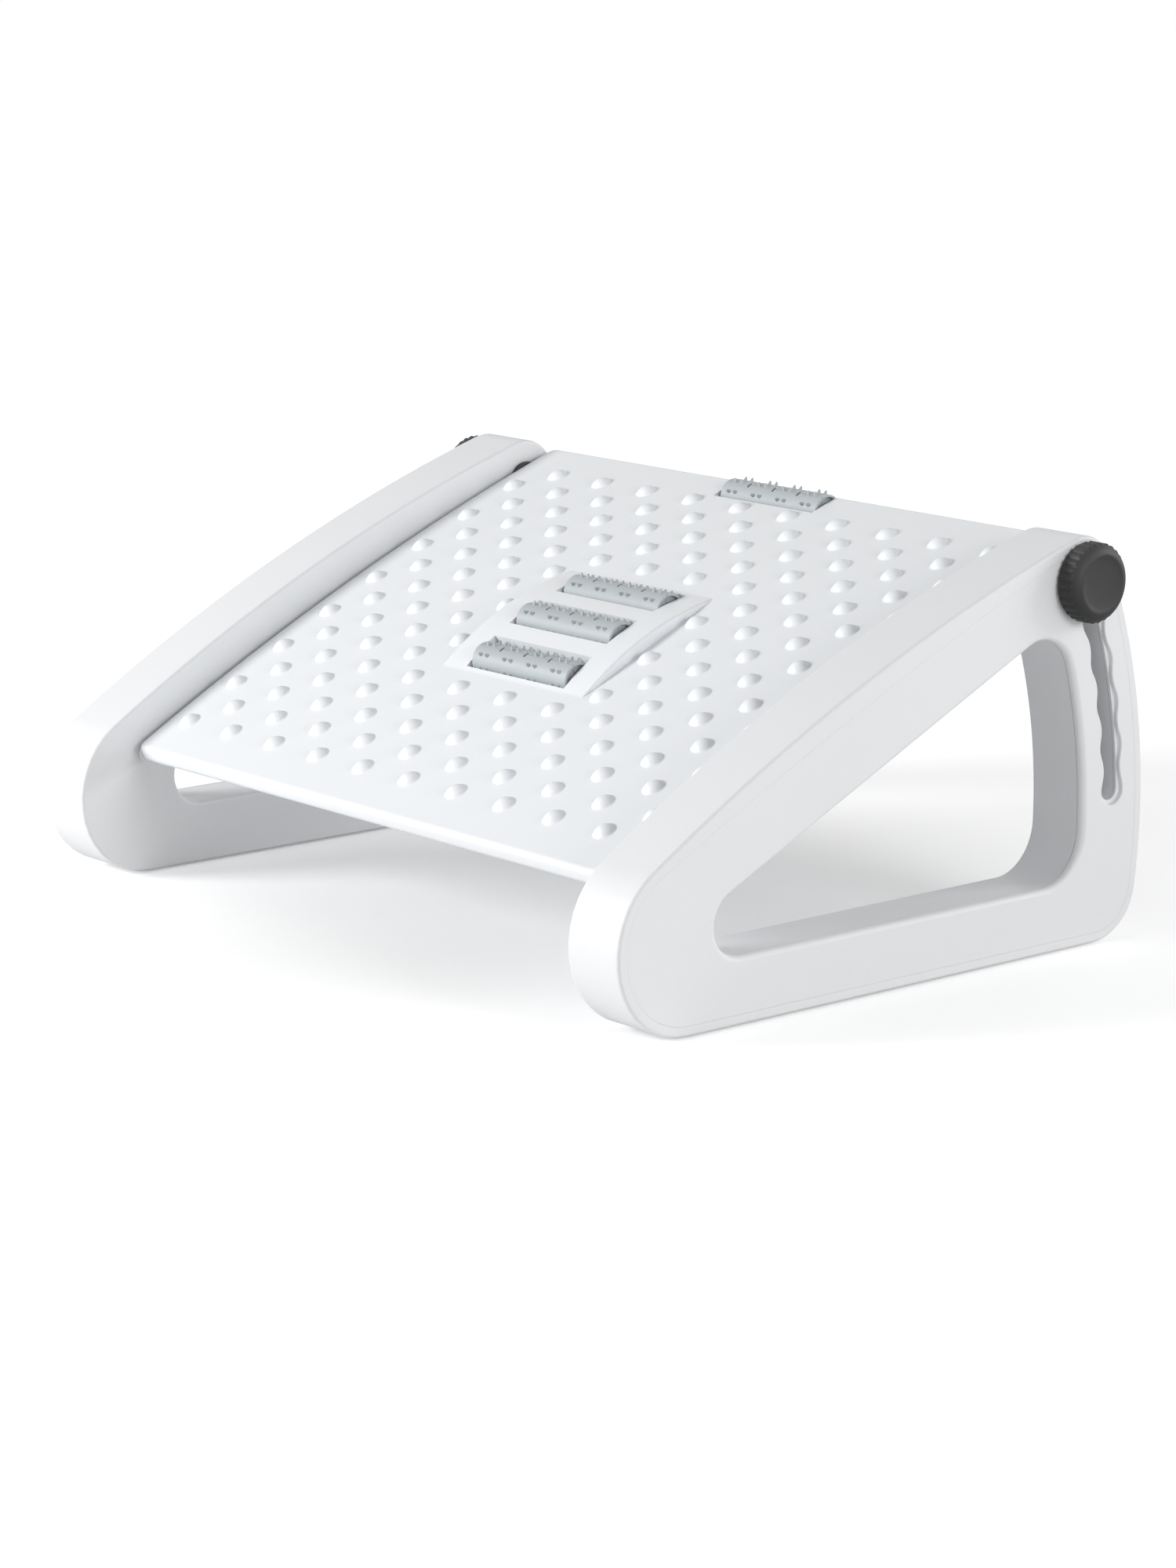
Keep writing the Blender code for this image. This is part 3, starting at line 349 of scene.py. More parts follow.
def combine(piece, operation, *tools):
    for tool in tools:
        bpy.ops.object.select_all(action="DESELECT")
        bpy.context.view_layer.objects.active = piece
        piece.select_set(True)
        modifier = piece.modifiers.new("combine", "BOOLEAN")
        modifier.solver = "EXACT"
        modifier.operation = operation
        modifier.object = tool
        bpy.ops.object.modifier_apply(modifier=modifier.name)
        bpy.data.objects.remove(tool)
    return piece


def cut(piece, *tools):
    return combine(piece, "DIFFERENCE", *tools)


def join(piece, *tools):
    return combine(piece, "UNION", *tools)


def smooth(piece, degrees=34, flats=True):
    """Smooth shading that keeps flat faces flat and hard edges hard."""
    bpy.ops.object.select_all(action="DESELECT")
    bpy.context.view_layer.objects.active = piece
    piece.select_set(True)
    bpy.ops.object.shade_smooth_by_angle(angle=math.radians(degrees))
    if flats:
        modifier = piece.modifiers.new("flats", "WEIGHTED_NORMAL")
        modifier.keep_sharp = True
        modifier.weight = 100
        bpy.ops.object.modifier_apply(modifier=modifier.name)
    return piece


def left_copy(piece, name):
    """The mirror image of a right-hand piece, with a mesh of its own."""
    copy = piece.copy()
    copy.data = piece.data.copy()
    copy.name = copy.data.name = name
    bpy.context.scene.collection.objects.link(copy)
    bpy.ops.object.select_all(action="DESELECT")
    bpy.context.view_layer.objects.active = copy
    copy.select_set(True)
    bpy.ops.object.mode_set(mode="EDIT")
    bpy.ops.mesh.select_all(action="SELECT")
    bpy.ops.transform.mirror(constraint_axis=(True, False, False), center_override=(0, 0, 0))
    bpy.ops.mesh.flip_normals()
    bpy.ops.object.mode_set(mode="OBJECT")
    return copy


class Shade:
    """A socket of a material, on which Python's operators add Math nodes."""

    def __init__(self, tree, output):
        self.tree = tree
        self.output = output

    def node(self, kind, settings={}, values={}, output=0):
        made = self.tree.nodes.new(kind)
        for key, value in settings.items():
            setattr(made, key, value)
        for key, value in values.items():
            if isinstance(value, Shade):
                self.tree.links.new(value.output, made.inputs[key])
            else:
                made.inputs[key].default_value = value
        return Shade(self.tree, made.outputs[output])

    def math(self, operation, first, second):
        return self.node("ShaderNodeMath", {"operation": operation}, {0: first, 1: second})

    def __add__(self, other):
        return self.math("ADD", self, other)

    def __sub__(self, other):
        return self.math("SUBTRACT", self, other)

    def __rsub__(self, other):
        return self.math("SUBTRACT", other, self)

    def __mul__(self, other):
        return self.math("MULTIPLY", self, other)

    __radd__ = __add__
    __rmul__ = __mul__


def new_finish(name, colour, roughness, metallic=0.0):
    """A material, its object coordinates and its shader's sockets."""
    finish = bpy.data.materials.new(name)
    finish.use_nodes = True
    finish.diffuse_color = (*colour, 1)
    shader = finish.node_tree.nodes["Principled BSDF"]
    shader.inputs["Base Color"].default_value = (*colour, 1)
    shader.inputs["Roughness"].default_value = roughness
    shader.inputs["Metallic"].default_value = metallic
    coordinates = finish.node_tree.nodes.new("ShaderNodeTexCoord")
    return finish, Shade(finish.node_tree, coordinates.outputs["Object"]), shader.inputs


def feed(socket, shade):
    shade.tree.links.new(shade.output, socket)


def noise(place, scale, detail=2.0, rough=0.5):
    values = {"Vector": place, "Scale": scale, "Detail": detail, "Roughness": rough}
    return place.node("ShaderNodeTexNoise", {}, values, "Fac")


def mixed(amount, first, second):
    settings = {"data_type": "RGBA"}
    values = {"Factor": amount, 6: first, 7: second}
    return amount.node("ShaderNodeMix", settings, values, 2)


def relief(height, depth, strength=1.0):
    values = {"Height": height, "Distance": depth, "Strength": strength}
    return height.node("ShaderNodeBump", {}, values, "Normal")


def moulded_plastic(name, light, dark, roughness, grain, depth):
    """Injection-moulded plastic: a spark-eroded grain, faint cloudiness and soft scuffs."""
    finish, place, sockets = new_finish(name, light, roughness)
    clouds = noise(place, 9.0, 3.0)
    specks = noise(place, 420.0, 1.0)
    pores = noise(place, 1 / grain, 2.0, 0.6)
    scuffs = noise(place, 60.0, 4.0, 0.7)
    tone = clouds * 0.7 + specks * 0.3
    feed(sockets["Base Color"], mixed(tone, (*dark, 1), (*light, 1)))
    feed(sockets["Roughness"], (clouds - 0.5) * 0.10 + (scuffs - 0.5) * 0.16 + roughness)
    feed(sockets["Normal"], relief(pores + scuffs * 0.3, depth))
    sockets["Specular IOR Level"].default_value = 0.42
    return finish


frame_plastic = moulded_plastic(
    "frame_plastic", (0.83, 0.84, 0.855), (0.79, 0.80, 0.815), 0.46, 0.9 * MM, 0.018 * MM
)
inner = FRAME_FACE
outer = FRAME_FACE + FRAME_THICKNESS
cover_floor = outer - COVER_THICKNESS
shell_levels = rounded_ends(inner, outer, INNER_EDGE, OUTER_EDGE)
shell = along_x("right_shell", frame_outline, shell_levels)
hollow_levels = [(x, SEAM_GAP / 2) for x in (inner + FRAME_WALL, outer + PAST)]
hollow = along_x("hollow", seam_outline, hollow_levels)
wall_levels = [(inner, 0), (cover_floor - GAP, 0)]
post_top = inner + FRAME_WALL + POST_HEIGHT
pin_boss_top = inner + FRAME_WALL + PIN_BOSS_HEIGHT
cut(
    hollow,
    along_x("hole_wall", lambda inset: hole_outline(-FRAME_WALL), wall_levels),
    along_x("slot_wall", lambda inset: channel_outline(-SLOT_WALL), wall_levels),
    bar("pin_boss", inner, pin_boss_top, PIN_BOSS_RADIUS, PIVOT),
    *[bar("post", inner, post_top, POST_RADIUS, centre, 16) for centre in SCREW_PLACES],
)
cut(shell, hollow)
cut(shell, mouth("hole", hole_outline, inner, outer + PAST, SHELL_HOLE_EDGE))
cut(shell, mouth("slot", channel_outline, inner, outer + PAST, SHELL_SLOT_EDGE))
cut(shell, bar("pin_bore", inner - PAST, outer, PIN_BORE, PIVOT))
for centre in SCREW_PLACES:
    bottom = inner + COUNTERBORE_DEPTH
    cut(shell, bar("counterbore", inner - PAST, bottom, COUNTERBORE_RADIUS, centre))
    cut(shell, bar("screw_bore", inner - PAST, post_top + PAST, SCREW_BORE, centre, 16))

cover_levels = [
    (cover_floor, SEAM_GAP),
    (outer - SEAM_CHAMFER, SEAM_GAP),
    (outer, SEAM_GAP + SEAM_CHAMFER),
]
cover = along_x("right_cover", seam_outline, cover_levels)
for centre in SCREW_PLACES:
    post_end = cover_floor + COVER_THICKNESS / 2
    join(cover, bar("post", post_top + GAP, post_end, COVER_POST_RADIUS, centre, 16))
cut(cover, mouth("hole", hole_outline, outer, inner, COVER_HOLE_EDGE, 6))
cut(cover, mouth("recess", recess_outline, outer, outer - RECESS_DEPTH, COVER_RECESS_EDGE, 4))
cut(cover, along_x("slot", channel_outline, [(inner, 0), (outer, 0)]))

for piece in (shell, cover):
    piece.data.materials.append(frame_plastic)
    smooth(piece)
left_shell = left_copy(shell, "left_shell")
left_cover = left_copy(cover, "left_cover")
for piece, node in (
    (shell, "right_inner_shell"),
    (cover, "right_outer_cover"),
    (left_shell, "left_inner_shell"),
    (left_cover, "left_outer_cover"),
):
    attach(piece, "side_frames")
    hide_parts(node)

# Foot strips: a flat dark rubber strip glued into a shallow pocket under each frame. Its
# underside has fine cross grooves for grip.
rubber, place, sockets = new_finish("foot_rubber", (0.05, 0.05, 0.05), 0.8)
dust = noise(place, 70.0, 4.0, 0.65)
feed(sockets["Base Color"], mixed(dust, (0.035, 0.035, 0.036, 1), (0.075, 0.073, 0.07, 1)))
feed(sockets["Roughness"], dust * 0.2 + 0.7)
feed(sockets["Normal"], relief(noise(place, 1800.0, 2.0), 0.04 * MM))

STRIP_RADIUS = 12 * MM
STRIP_SETBACK = 20.5 * MM
POCKET_TOP = 2.3 * MM
GROOVES = 24
FIRST_GROOVE = 4 * MM
GROOVE_PITCH = 9 * MM
GROOVE_SIZE = (18 * MM, 1.2 * MM, 1.0 * MM)
middle = (inner + outer) / 2


def strip_outline(inset):
    radius = STRIP_RADIUS - inset
    nose, heel = frame_corners()[:2]
    ends = (nose[0] + STRIP_SETBACK, heel[0] - STRIP_SETBACK)
    rear = [polar(a, radius, (middle, ends[1])) for a in span(0.0, math.pi, 16)]
    front = [polar(a, radius, (middle, ends[0])) for a in span(math.pi, 2 * math.pi, 16)]
    return rear + front


def block(name, centre, size):
    bpy.ops.object.select_all(action="DESELECT")
    bpy.ops.mesh.primitive_cube_add(size=1, location=centre)
    made = bpy.context.object
    made.name = name
    made.scale = size
    bpy.ops.object.transform_apply(location=True, rotation=True, scale=True)
    return made


strip_levels = [(0.0, 0.4), (0.12, 0.12), (0.4, 0.0), (2.0, 0.0)]
strip = extruded(
    "right_strip", [[(x, y, z * MM) for x, y in strip_outline(i * MM)] for z, i in strip_levels]
)
first_groove = strip_outline(0)[-1][1] + FIRST_GROOVE
for k in range(GROOVES):
    cut(strip, block("groove", (middle, first_groove + k * GROOVE_PITCH, 0), GROOVE_SIZE))
for moulding, side in ((shell, 1), (left_shell, -1)):
    pocket = [[(side * x, y, z) for x, y in strip_outline(-GAP)] for z in (0, POCKET_TOP)]
    cut(moulding, extruded("pocket", pocket))
    smooth(moulding)
strip.data.materials.append(rubber)
smooth(strip)
left_strip = left_copy(strip, "left_strip")
for piece, node in ((strip, "right_foot_strip"), (left_strip, "left_foot_strip")):
    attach(piece, "side_frames")
    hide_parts(node)

# Steel: the frame screws are zinc-plated pan heads with a cross recess, sunk in the inner
# faces. The pins, studs and axles are turned from plain bright bar.
zinc, place, sockets = new_finish("zinc_steel", (0.60, 0.61, 0.62), 0.34, 1.0)
turning = place.node("ShaderNodeMapping", {}, {"Vector": place, "Scale": (3000, 60, 60)})
marks = noise(turning, 1.0, 3.0, 0.6)
stain = noise(place, 240.0, 3.0)
feed(sockets["Base Color"], mixed(stain, (0.52, 0.53, 0.55, 1), (0.66, 0.66, 0.65, 1)))
feed(sockets["Roughness"], marks * 0.22 + 0.24)
feed(sockets["Normal"], relief(marks, 0.01 * MM))


def set_metal(finish, *names):
    """The finish of parts that are plain turned bar."""
    for name in names:
        nodes[name].data.materials.clear()
        nodes[name].data.materials.append(finish)


def turned(name, profile, sides=48, centre=(0, 0)):
    """A solid turned about the X axis from (x, radius) points."""
    rings = []
    for x, radius in profile:
        ring = [polar(2 * math.pi * k / sides, radius, centre) for k in range(sides)]
        rings.append([(x, y, z) for y, z in ring])
    return extruded(name, rings)


HEAD_DEPTH = 0.6 * MM
HEAD_SEAT = 2.7 * MM
HEAD_RADIUS = 3.35 * MM
HEAD_DOME = 1.1 * MM
SHANK_RADIUS = 1.75 * MM
SHANK_LENGTH = 20.3 * MM
TIP_LENGTH = 21.9 * MM
TIP_RADIUS = 0.5 * MM
CROSS_LENGTH = 3.4 * MM
CROSS_WIDTH = 0.85 * MM
CROSS_DEPTH = 2.4 * MM
head, seat = inner + HEAD_DEPTH, inner + HEAD_SEAT
screw_profile = [
    (head + HEAD_DOME * (1 - math.cos(a)), HEAD_RADIUS * math.sin(a)) for a in span(0.35, 1.57, 5)
]
screw_profile += [
    (seat, HEAD_RADIUS),
    (seat, SHANK_RADIUS),
    (seat + SHANK_LENGTH, SHANK_RADIUS),
    (seat + TIP_LENGTH, TIP_RADIUS),
]
for count, centre in enumerate(SCREW_PLACES, 1):
    screw = turned(f"right_screw_{count}", screw_profile, 32, centre)
    for across, upright in ((CROSS_LENGTH, CROSS_WIDTH), (CROSS_WIDTH, CROSS_LENGTH)):
        cut(screw, block("cross", (head, *centre), (CROSS_DEPTH, across, upright)))
    screw.data.materials.append(zinc)
    smooth(screw)
    left_screw = left_copy(screw, f"left_screw_{count}")
    for piece, side in ((screw, "right"), (left_screw, "left")):
        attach(piece, "side_frames")
        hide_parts(f"{side}_frame_screw_{count}")
set_metal(zinc, "left_pivot_pin", "right_pivot_pin", "left_knob_stud", "right_knob_stud")

# Footboard: one white moulding, bowed along its length, with a rolled low edge, thin
# skirts and ribs underneath, a raised bridge over three roller wells and a fourth
# well cut into its high edge.
CROWN_RADIUS = 1700 * MM
CROWN_MIDDLE = 147 * MM
CROWN_TOP = 14.2 * MM
BOARD_REACH = 300.2 * MM
BOARD_NOSE = 4.8 * MM
BOARD_CORNER = 5 * MM
TOP_RIM_MM = (2.5, 2.6)
LOWER_RIM_MM = (0.5, 4.5)
NOSE_BAND = 10 * MM
NOSE_WALL = 6 * MM
SKIRT_BOTTOM = -7 * MM
SKIRT_RUN = 14 * MM
SKIRT = 3 * MM
PLATE = 3 * MM
ARCH_HALF = 47 * MM
ARCH_TOP = 20.2 * MM
BRIDGE_HALF = 53 * MM
BRIDGE_CORE_HALF = 50 * MM
BRIDGE_FLOOR = 12.4 * MM
BRIDGE_EDGE = 1.2 * MM
WELL_PITCH = 32.5 * MM
WINDOW = (36.5 * MM, 11 * MM)
WELL_WALL = 2.5 * MM
AXLE_DROP = 5 * MM
AXLE_SEAT = 2.3 * MM
AXLE_WAY = 1.9 * MM
EDGE_SETBACK = 8.4 * MM
EDGE_DROP = 5.2 * MM
RIBS_MM = (-120, -60, 60, 120)
CROSS_RIBS_MM = (-98, 98)
HALF_RIB_MM = 1
RIB_BOTTOM = -3 * MM
PIN_SLEEVE_RADIUS = 3.6 * MM
PIN_SLEEVE_LENGTH = 20.8 * MM
PIN_SLEEVE_INSET = 2.5 * MM
PIN_BORE_DEPTH = 18.3 * MM
INSERT_BOSS_RADIUS = 7 * MM
INSERT_BOSS_LENGTH = 15.1 * MM
INSERT_BORE_RADIUS = 4.8 * MM
INSERT_BORE_DEPTH = 12.6 * MM
FAR = 0.06
WIDE = 1.0
board_plastic = moulded_plastic(
    "board_plastic", (0.855, 0.875, 0.895), (0.825, 0.845, 0.865), 0.40, 0.8 * MM, 0.014 * MM
)
board_turn = Matrix.Translation((0, PIVOT[0], PIVOT[1])) @ Matrix.Rotation(TILT, 4, "X")


def crown(u):
    sag = CROWN_RADIUS - math.sqrt(CROWN_RADIUS**2 - (u - CROWN_MIDDLE) ** 2)
    return CROWN_TOP - sag


def skirt_bottom(u):
    nose = crown(u) - NOSE_BAND
    share = min(max(u / SKIRT_RUN, 0.0), 1.0)
    return nose + (SKIRT_BOTTOM - nose) * share


def arch(s):
    drop = ARCH_TOP - crown(CROWN_MIDDLE + ARCH_HALF)
    radius = (ARCH_HALF**2 + drop**2) / (2 * drop)
    return ARCH_TOP - radius + math.sqrt(radius**2 - s**2)


def board_side(half_width, front, rear, corner):
    """Half of the board's plan as points and outward normals, from nose to high edge."""
    middle = half_width - corner
    nose_end = 28 * MM
    points = []
    for a in span(0.0, math.pi / 2, 8):
        normal = (math.sin(a), -math.cos(a))
        points.append((middle + corner * normal[0], front + corner * (1 + normal[1]), normal))
    along = span(front + corner, nose_end, 6)[1:] + span(nose_end, rear - corner, 30)[1:-1]
    points += [(half_width, u, (1.0, 0.0)) for u in along]
    for a in span(0.0, math.pi / 2, 8):
        normal = (math.cos(a), math.sin(a))
        points.append((middle + corner * normal[0], rear - corner + corner * normal[1], normal))
    return points


def crowned(name, side, top, bottom, top_rim=(0, 0), lower_rim=(0, 0), steps=0):
    """A solid between two surfaces that change only along the slope.

    Each rim has the millimetres by which it is rounded at the sides and at the nose.
    """
    quarter = span(0.0, math.pi / 2, steps) if steps else [math.pi / 2]
    rings = []
    for surface, (edge, nose), sign in ((bottom, lower_rim, 1), (top, top_rim, -1)):
        for a in quarter[::sign]:
            half = []
            for x, u, normal in side:
                px = x - edge * MM * (1 - math.sin(a)) * normal[0]
                pu = u - (nose if normal[1] < 0 else edge) * MM * (1 - math.sin(a)) * normal[1]
                depth = (edge + (nose - edge) * max(0.0, -normal[1])) * MM
                half.append((px, pu, surface(pu) + sign * depth * (1 - math.cos(a))))
            rings.append(half + [(-x, u, v) for x, u, v in reversed(half)])
    made = extruded(name, rings)
    count = len(side)
    shape = bmesh.new()
    shape.from_mesh(made.data)
    shape.verts.ensure_lookup_table()
    for first in (0, 2 * count * (len(rings) - 1)):
        for j in range(1, count - 1):
            pair = [shape.verts[first + j], shape.verts[first + 2 * count - 1 - j]]
            bmesh.ops.connect_vert_pair(shape, verts=pair)
    shape.to_mesh(made.data)
    shape.free()
    return made


def between(name, *spans):
    """A block from its low and high end along each axis."""
    centre = [(low + high) / 2 for low, high in spans]
    return block(name, centre, [high - low for low, high in spans])


def arched(name, half_width, drop, base, edge=0.0):
    """A block under the bridge's arch, with rounded ends."""
    half = ARCH_HALF + 2.5 * MM

    def profile(inset):
        points = [(CROWN_MIDDLE + s, arch(s) - drop - inset) for s in span(half, -half, 48)]
        return points + [(CROWN_MIDDLE - half, base), (CROWN_MIDDLE + half, base)]

    levels = [(-half_width, 0), (half_width, 0)]
    if edge:
        levels = rounded_ends(-half_width, half_width, edge, edge, 4)
    return along_x(name, profile, levels)


roller_places = {}
for name, s in (("low_roller", -WELL_PITCH), ("middle_roller", 0.0), ("high_roller", WELL_PITCH)):
    roller_places[name] = (CROWN_MIDDLE + s, arch(s) - AXLE_DROP)
edge_roller_u = BOARD_REACH - EDGE_SETBACK
roller_places["edge_roller"] = (edge_roller_u, crown(edge_roller_u) - EDGE_DROP)

plan = board_side(BOARD_WIDTH / 2, -BOARD_NOSE, BOARD_REACH, BOARD_CORNER)
board = crowned("board", plan, crown, skirt_bottom, TOP_RIM_MM, LOWER_RIM_MM, 6)
join(board, arched("bridge", BRIDGE_HALF, drop=0, base=BRIDGE_FLOOR, edge=BRIDGE_EDGE))

front, rear = NOSE_WALL - BOARD_NOSE, BOARD_REACH - SKIRT
plan = board_side(BOARD_WIDTH / 2 - SKIRT, front, rear, BOARD_CORNER - SKIRT)
under = crowned("under", plan, lambda u: crown(u) - PLATE, lambda u: -FAR)
join(under, arched("bridge_core", BRIDGE_CORE_HALF, drop=PLATE, base=-0.03))
for x in RIBS_MM:
    rib = ((x - HALF_RIB_MM) * MM, (x + HALF_RIB_MM) * MM)
    cut(under, between("rib", rib, (-FAR, WIDE), (RIB_BOTTOM, FAR)))
for s in CROSS_RIBS_MM:
    u = CROWN_MIDDLE + s * MM
    rib = (u - HALF_RIB_MM * MM, u + HALF_RIB_MM * MM)
    cut(under, between("rib", (-WIDE, WIDE), rib, (RIB_BOTTOM, FAR)))
well_x = WINDOW[0] + WELL_WALL
well_u = WELL_PITCH + WINDOW[1] + WELL_WALL
wells = (CROWN_MIDDLE - well_u, CROWN_MIDDLE + well_u)
cut(under, between("wells", (-well_x, well_x), wells, (0, FAR)))
edge_well = (edge_roller_u - WINDOW[1] - WELL_WALL, WIDE)
cut(under, between("edge_well", (-well_x, well_x), edge_well, (SKIRT_BOTTOM, FAR)))
insert_place = (SLOT_RADIUS, 0)
for sign in (-1, 1):
    face = sign * BOARD_WIDTH / 2
    boss_end = face - sign * INSERT_BOSS_LENGTH
    cut(under, bar("insert_boss", boss_end, face, INSERT_BOSS_RADIUS, insert_place))
cut(board, under)

window_x = (-WINDOW[0], WINDOW[0])
seat_x = (-well_x - PAST, well_x + PAST)
for name, (u, v) in roller_places.items():
    end = WIDE if name == "edge_roller" else u + WINDOW[1]
    cut(board, between("window", window_x, (u - WINDOW[1], end), (-FAR, FAR)))
    way = between("way", seat_x, (u - AXLE_WAY, u + AXLE_WAY), (-FAR, v))
    cut(board, join(bar("seat", *seat_x, AXLE_SEAT, (u, v)), way))
half_space = WELL_PITCH / 2 - WINDOW[1] - 2 * MM
ceiling = arch(WELL_PITCH / 2 + half_space) - PLATE
for sign in (-1, 1):
    u = CROWN_MIDDLE + sign * WELL_PITCH / 2
    cut(board, between("space", window_x, (u - half_space, u + half_space), (-FAR, ceiling)))
    face = sign * BOARD_WIDTH / 2
    mouth_x = face + sign * PAST
    sleeve_end = face - sign * PIN_SLEEVE_LENGTH
    sleeve_start = face - sign * PIN_SLEEVE_INSET
    join(board, bar("pin_sleeve", sleeve_end, sleeve_start, PIN_SLEEVE_RADIUS))
    cut(board, bar("pin_bore", face - sign * PIN_BORE_DEPTH, mouth_x, PIN_BORE))
    bore_end = face - sign * INSERT_BORE_DEPTH
    cut(board, bar("insert_bore", bore_end, mouth_x, INSERT_BORE_RADIUS, insert_place))
board.data.transform(board_turn)
board.data.materials.append(board_plastic)
smooth(board, 40)
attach(board, "footboard")
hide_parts("footboard")

# Massage bumps: low round buttons of the board's own plastic, in staggered rows, which
# leave out the bridge. Each runs out into the plate with a small fillet.
BUMP_SIDES = 18
HALF_ROWS = 16
ROW_PITCH_MM = 33.64
COLUMNS = 10
COLUMN_PITCH_MM = 35.24
bump_profile = [
    (6.4, -0.25), (6.1, -0.02), (5.6, 0.1), (5.2, 0.4), (4.8, 0.9),
    (4.2, 1.5), (3.4, 2.1), (2.5, 2.6), (1.5, 2.95), (0.6, 3.1),
]
bump_rings = []
for radius, height in bump_profile:
    ring = [polar(2 * math.pi * k / BUMP_SIDES, radius * MM) for k in range(BUMP_SIDES)]
    bump_rings.append([(*corner, height * MM) for corner in ring])
bump = extruded("bumps", bump_rings)
button = bmesh.new()
button.from_mesh(bump.data)
buttons = bmesh.new()
for half_row in range(HALF_ROWS):
    u = CROWN_MIDDLE + (half_row / 2 - (HALF_ROWS - 1) / 4) * ROW_PITCH_MM * MM
    for column in range(COLUMNS):
        x = (column + half_row % 2 / 2 - (COLUMNS - 0.5) / 2) * COLUMN_PITCH_MM * MM
        if abs(x) < BRIDGE_HALF and abs(u - CROWN_MIDDLE) < ARCH_HALF:
            continue
        slope = math.asin((u - CROWN_MIDDLE) / CROWN_RADIUS)
        stand = Matrix.Translation((x, u, crown(u))) @ Matrix.Rotation(-slope, 4, "X")
        corners = [buttons.verts.new(stand @ corner.co) for corner in button.verts]
        for face in button.faces:
            buttons.faces.new([corners[corner.index] for corner in face.verts])
buttons.to_mesh(bump.data)
button.free()
buttons.free()
bump.data.transform(board_turn)
bump.data.materials.append(board_plastic)
smooth(bump, 60, False)
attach(bump, "footboard")

# Rollers: grey plastic half shells snapped together round a steel axle, with a web and a
# hub at each end, a row of three snap slots along each joint and rows of short nubs.
ROLLER_RADIUS = 8.7 * MM
JOINT_GAP = 0.1 * MM
SNAP_PLACES_MM = (-18, 0, 18)
HALF_SNAP_MM = 0.65
NUB_SIDES = 8
NUB_ROWS = 4
NUB_GROUPS = 4
NUB_PITCH_MM = 18
NUB_PAIR_MM = 2.35
FIRST_NUB_ROW = 38
NUB_ROW_STEP = 45
roller_plastic = moulded_plastic(
    "roller_plastic", (0.475, 0.51, 0.525), (0.42, 0.455, 0.47), 0.46, 0.6 * MM, 0.012 * MM
)
roller_turns = {"low_roller": 0, "middle_roller": -9, "high_roller": -9, "edge_roller": 4}
nub_profile = [(1.25, -0.4), (1.1, 0.0), (0.85, 0.45), (0.7, 1.2), (0.52, 1.75), (0.22, 2.05)]


def half_shell(name):
    """One half: its wall's section swept through half a turn, with its snap slots."""
    end = [
        (34.8, 8.7), (35, 8.3), (35, 7.55), (34.7, 7.3), (33.2, 7.3),
        (33.2, 4.0), (34.6, 4.0), (34.6, 2.3), (31, 2.3), (31, 7.3),
    ]
    section = end + [(-x, r) for x, r in reversed(end)]
    rings = []
    for a in span(0.0, math.pi, 28):
        y, z = -math.sin(a), math.cos(a)
        rings.append([(x * MM, r * MM * y - JOINT_GAP, r * MM * z) for x, r in section])
    half = extruded(name, rings)
    for x in SNAP_PLACES_MM:
        for top in (-1, 1):
            along = ((x - HALF_SNAP_MM) * MM, (x + HALF_SNAP_MM) * MM)
            deep = sorted((top * 6 * MM, top * 10 * MM))
            cut(half, between("snap", along, (-1.8 * MM, 1 * MM), deep))
    return half


first_half = half_shell("roller_half")
nub_rings = []
for radius, height in nub_profile:
    ring = [polar(2 * math.pi * k / NUB_SIDES, radius * MM) for k in range(NUB_SIDES)]
    nub_rings.append([(*corner, height * MM + ROLLER_RADIUS) for corner in ring])
one_nub = extruded("nub", nub_rings)
nub_mesh = bmesh.new()
nub_mesh.from_mesh(one_nub.data)
bpy.data.objects.remove(one_nub)
half_mesh = bmesh.new()
half_mesh.from_mesh(first_half.data)
for row in range(NUB_ROWS):
    out = math.radians(FIRST_NUB_ROW + NUB_ROW_STEP * row)
    for group in range(NUB_GROUPS):
        for side in (-1, 1):
            x = ((group - (NUB_GROUPS - 1) / 2) * NUB_PITCH_MM + side * NUB_PAIR_MM) * MM
            stand = Matrix.Rotation(out, 4, "X") @ Matrix.Translation((x, 0, 0))
            corners = [half_mesh.verts.new(stand @ corner.co) for corner in nub_mesh.verts]
            for face in nub_mesh.faces:
                half_mesh.faces.new([corners[corner.index] for corner in face.verts])
half_mesh.to_mesh(first_half.data)
half_mesh.free()
nub_mesh.free()
first_half.data.materials.append(roller_plastic)
for name, (u, v) in roller_places.items():
    for part, turn_of_half in (("front_half", 0.0), ("rear_half", math.pi)):
        half = first_half.copy()
        half.data = first_half.data.copy()
        half.name = half.data.name = f"{name}_{part}_moulding"
        bpy.context.scene.collection.objects.link(half)
        spin = Matrix.Rotation(math.radians(roller_turns[name]) + turn_of_half, 4, "X")
        half.data.transform(board_turn @ Matrix.Translation((0, u, v)) @ spin)
        smooth(half, 35)
        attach(half, name)
        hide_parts(f"{name}_{part}")
    set_metal(zinc, f"{name}_axle")
bpy.data.objects.remove(first_half)

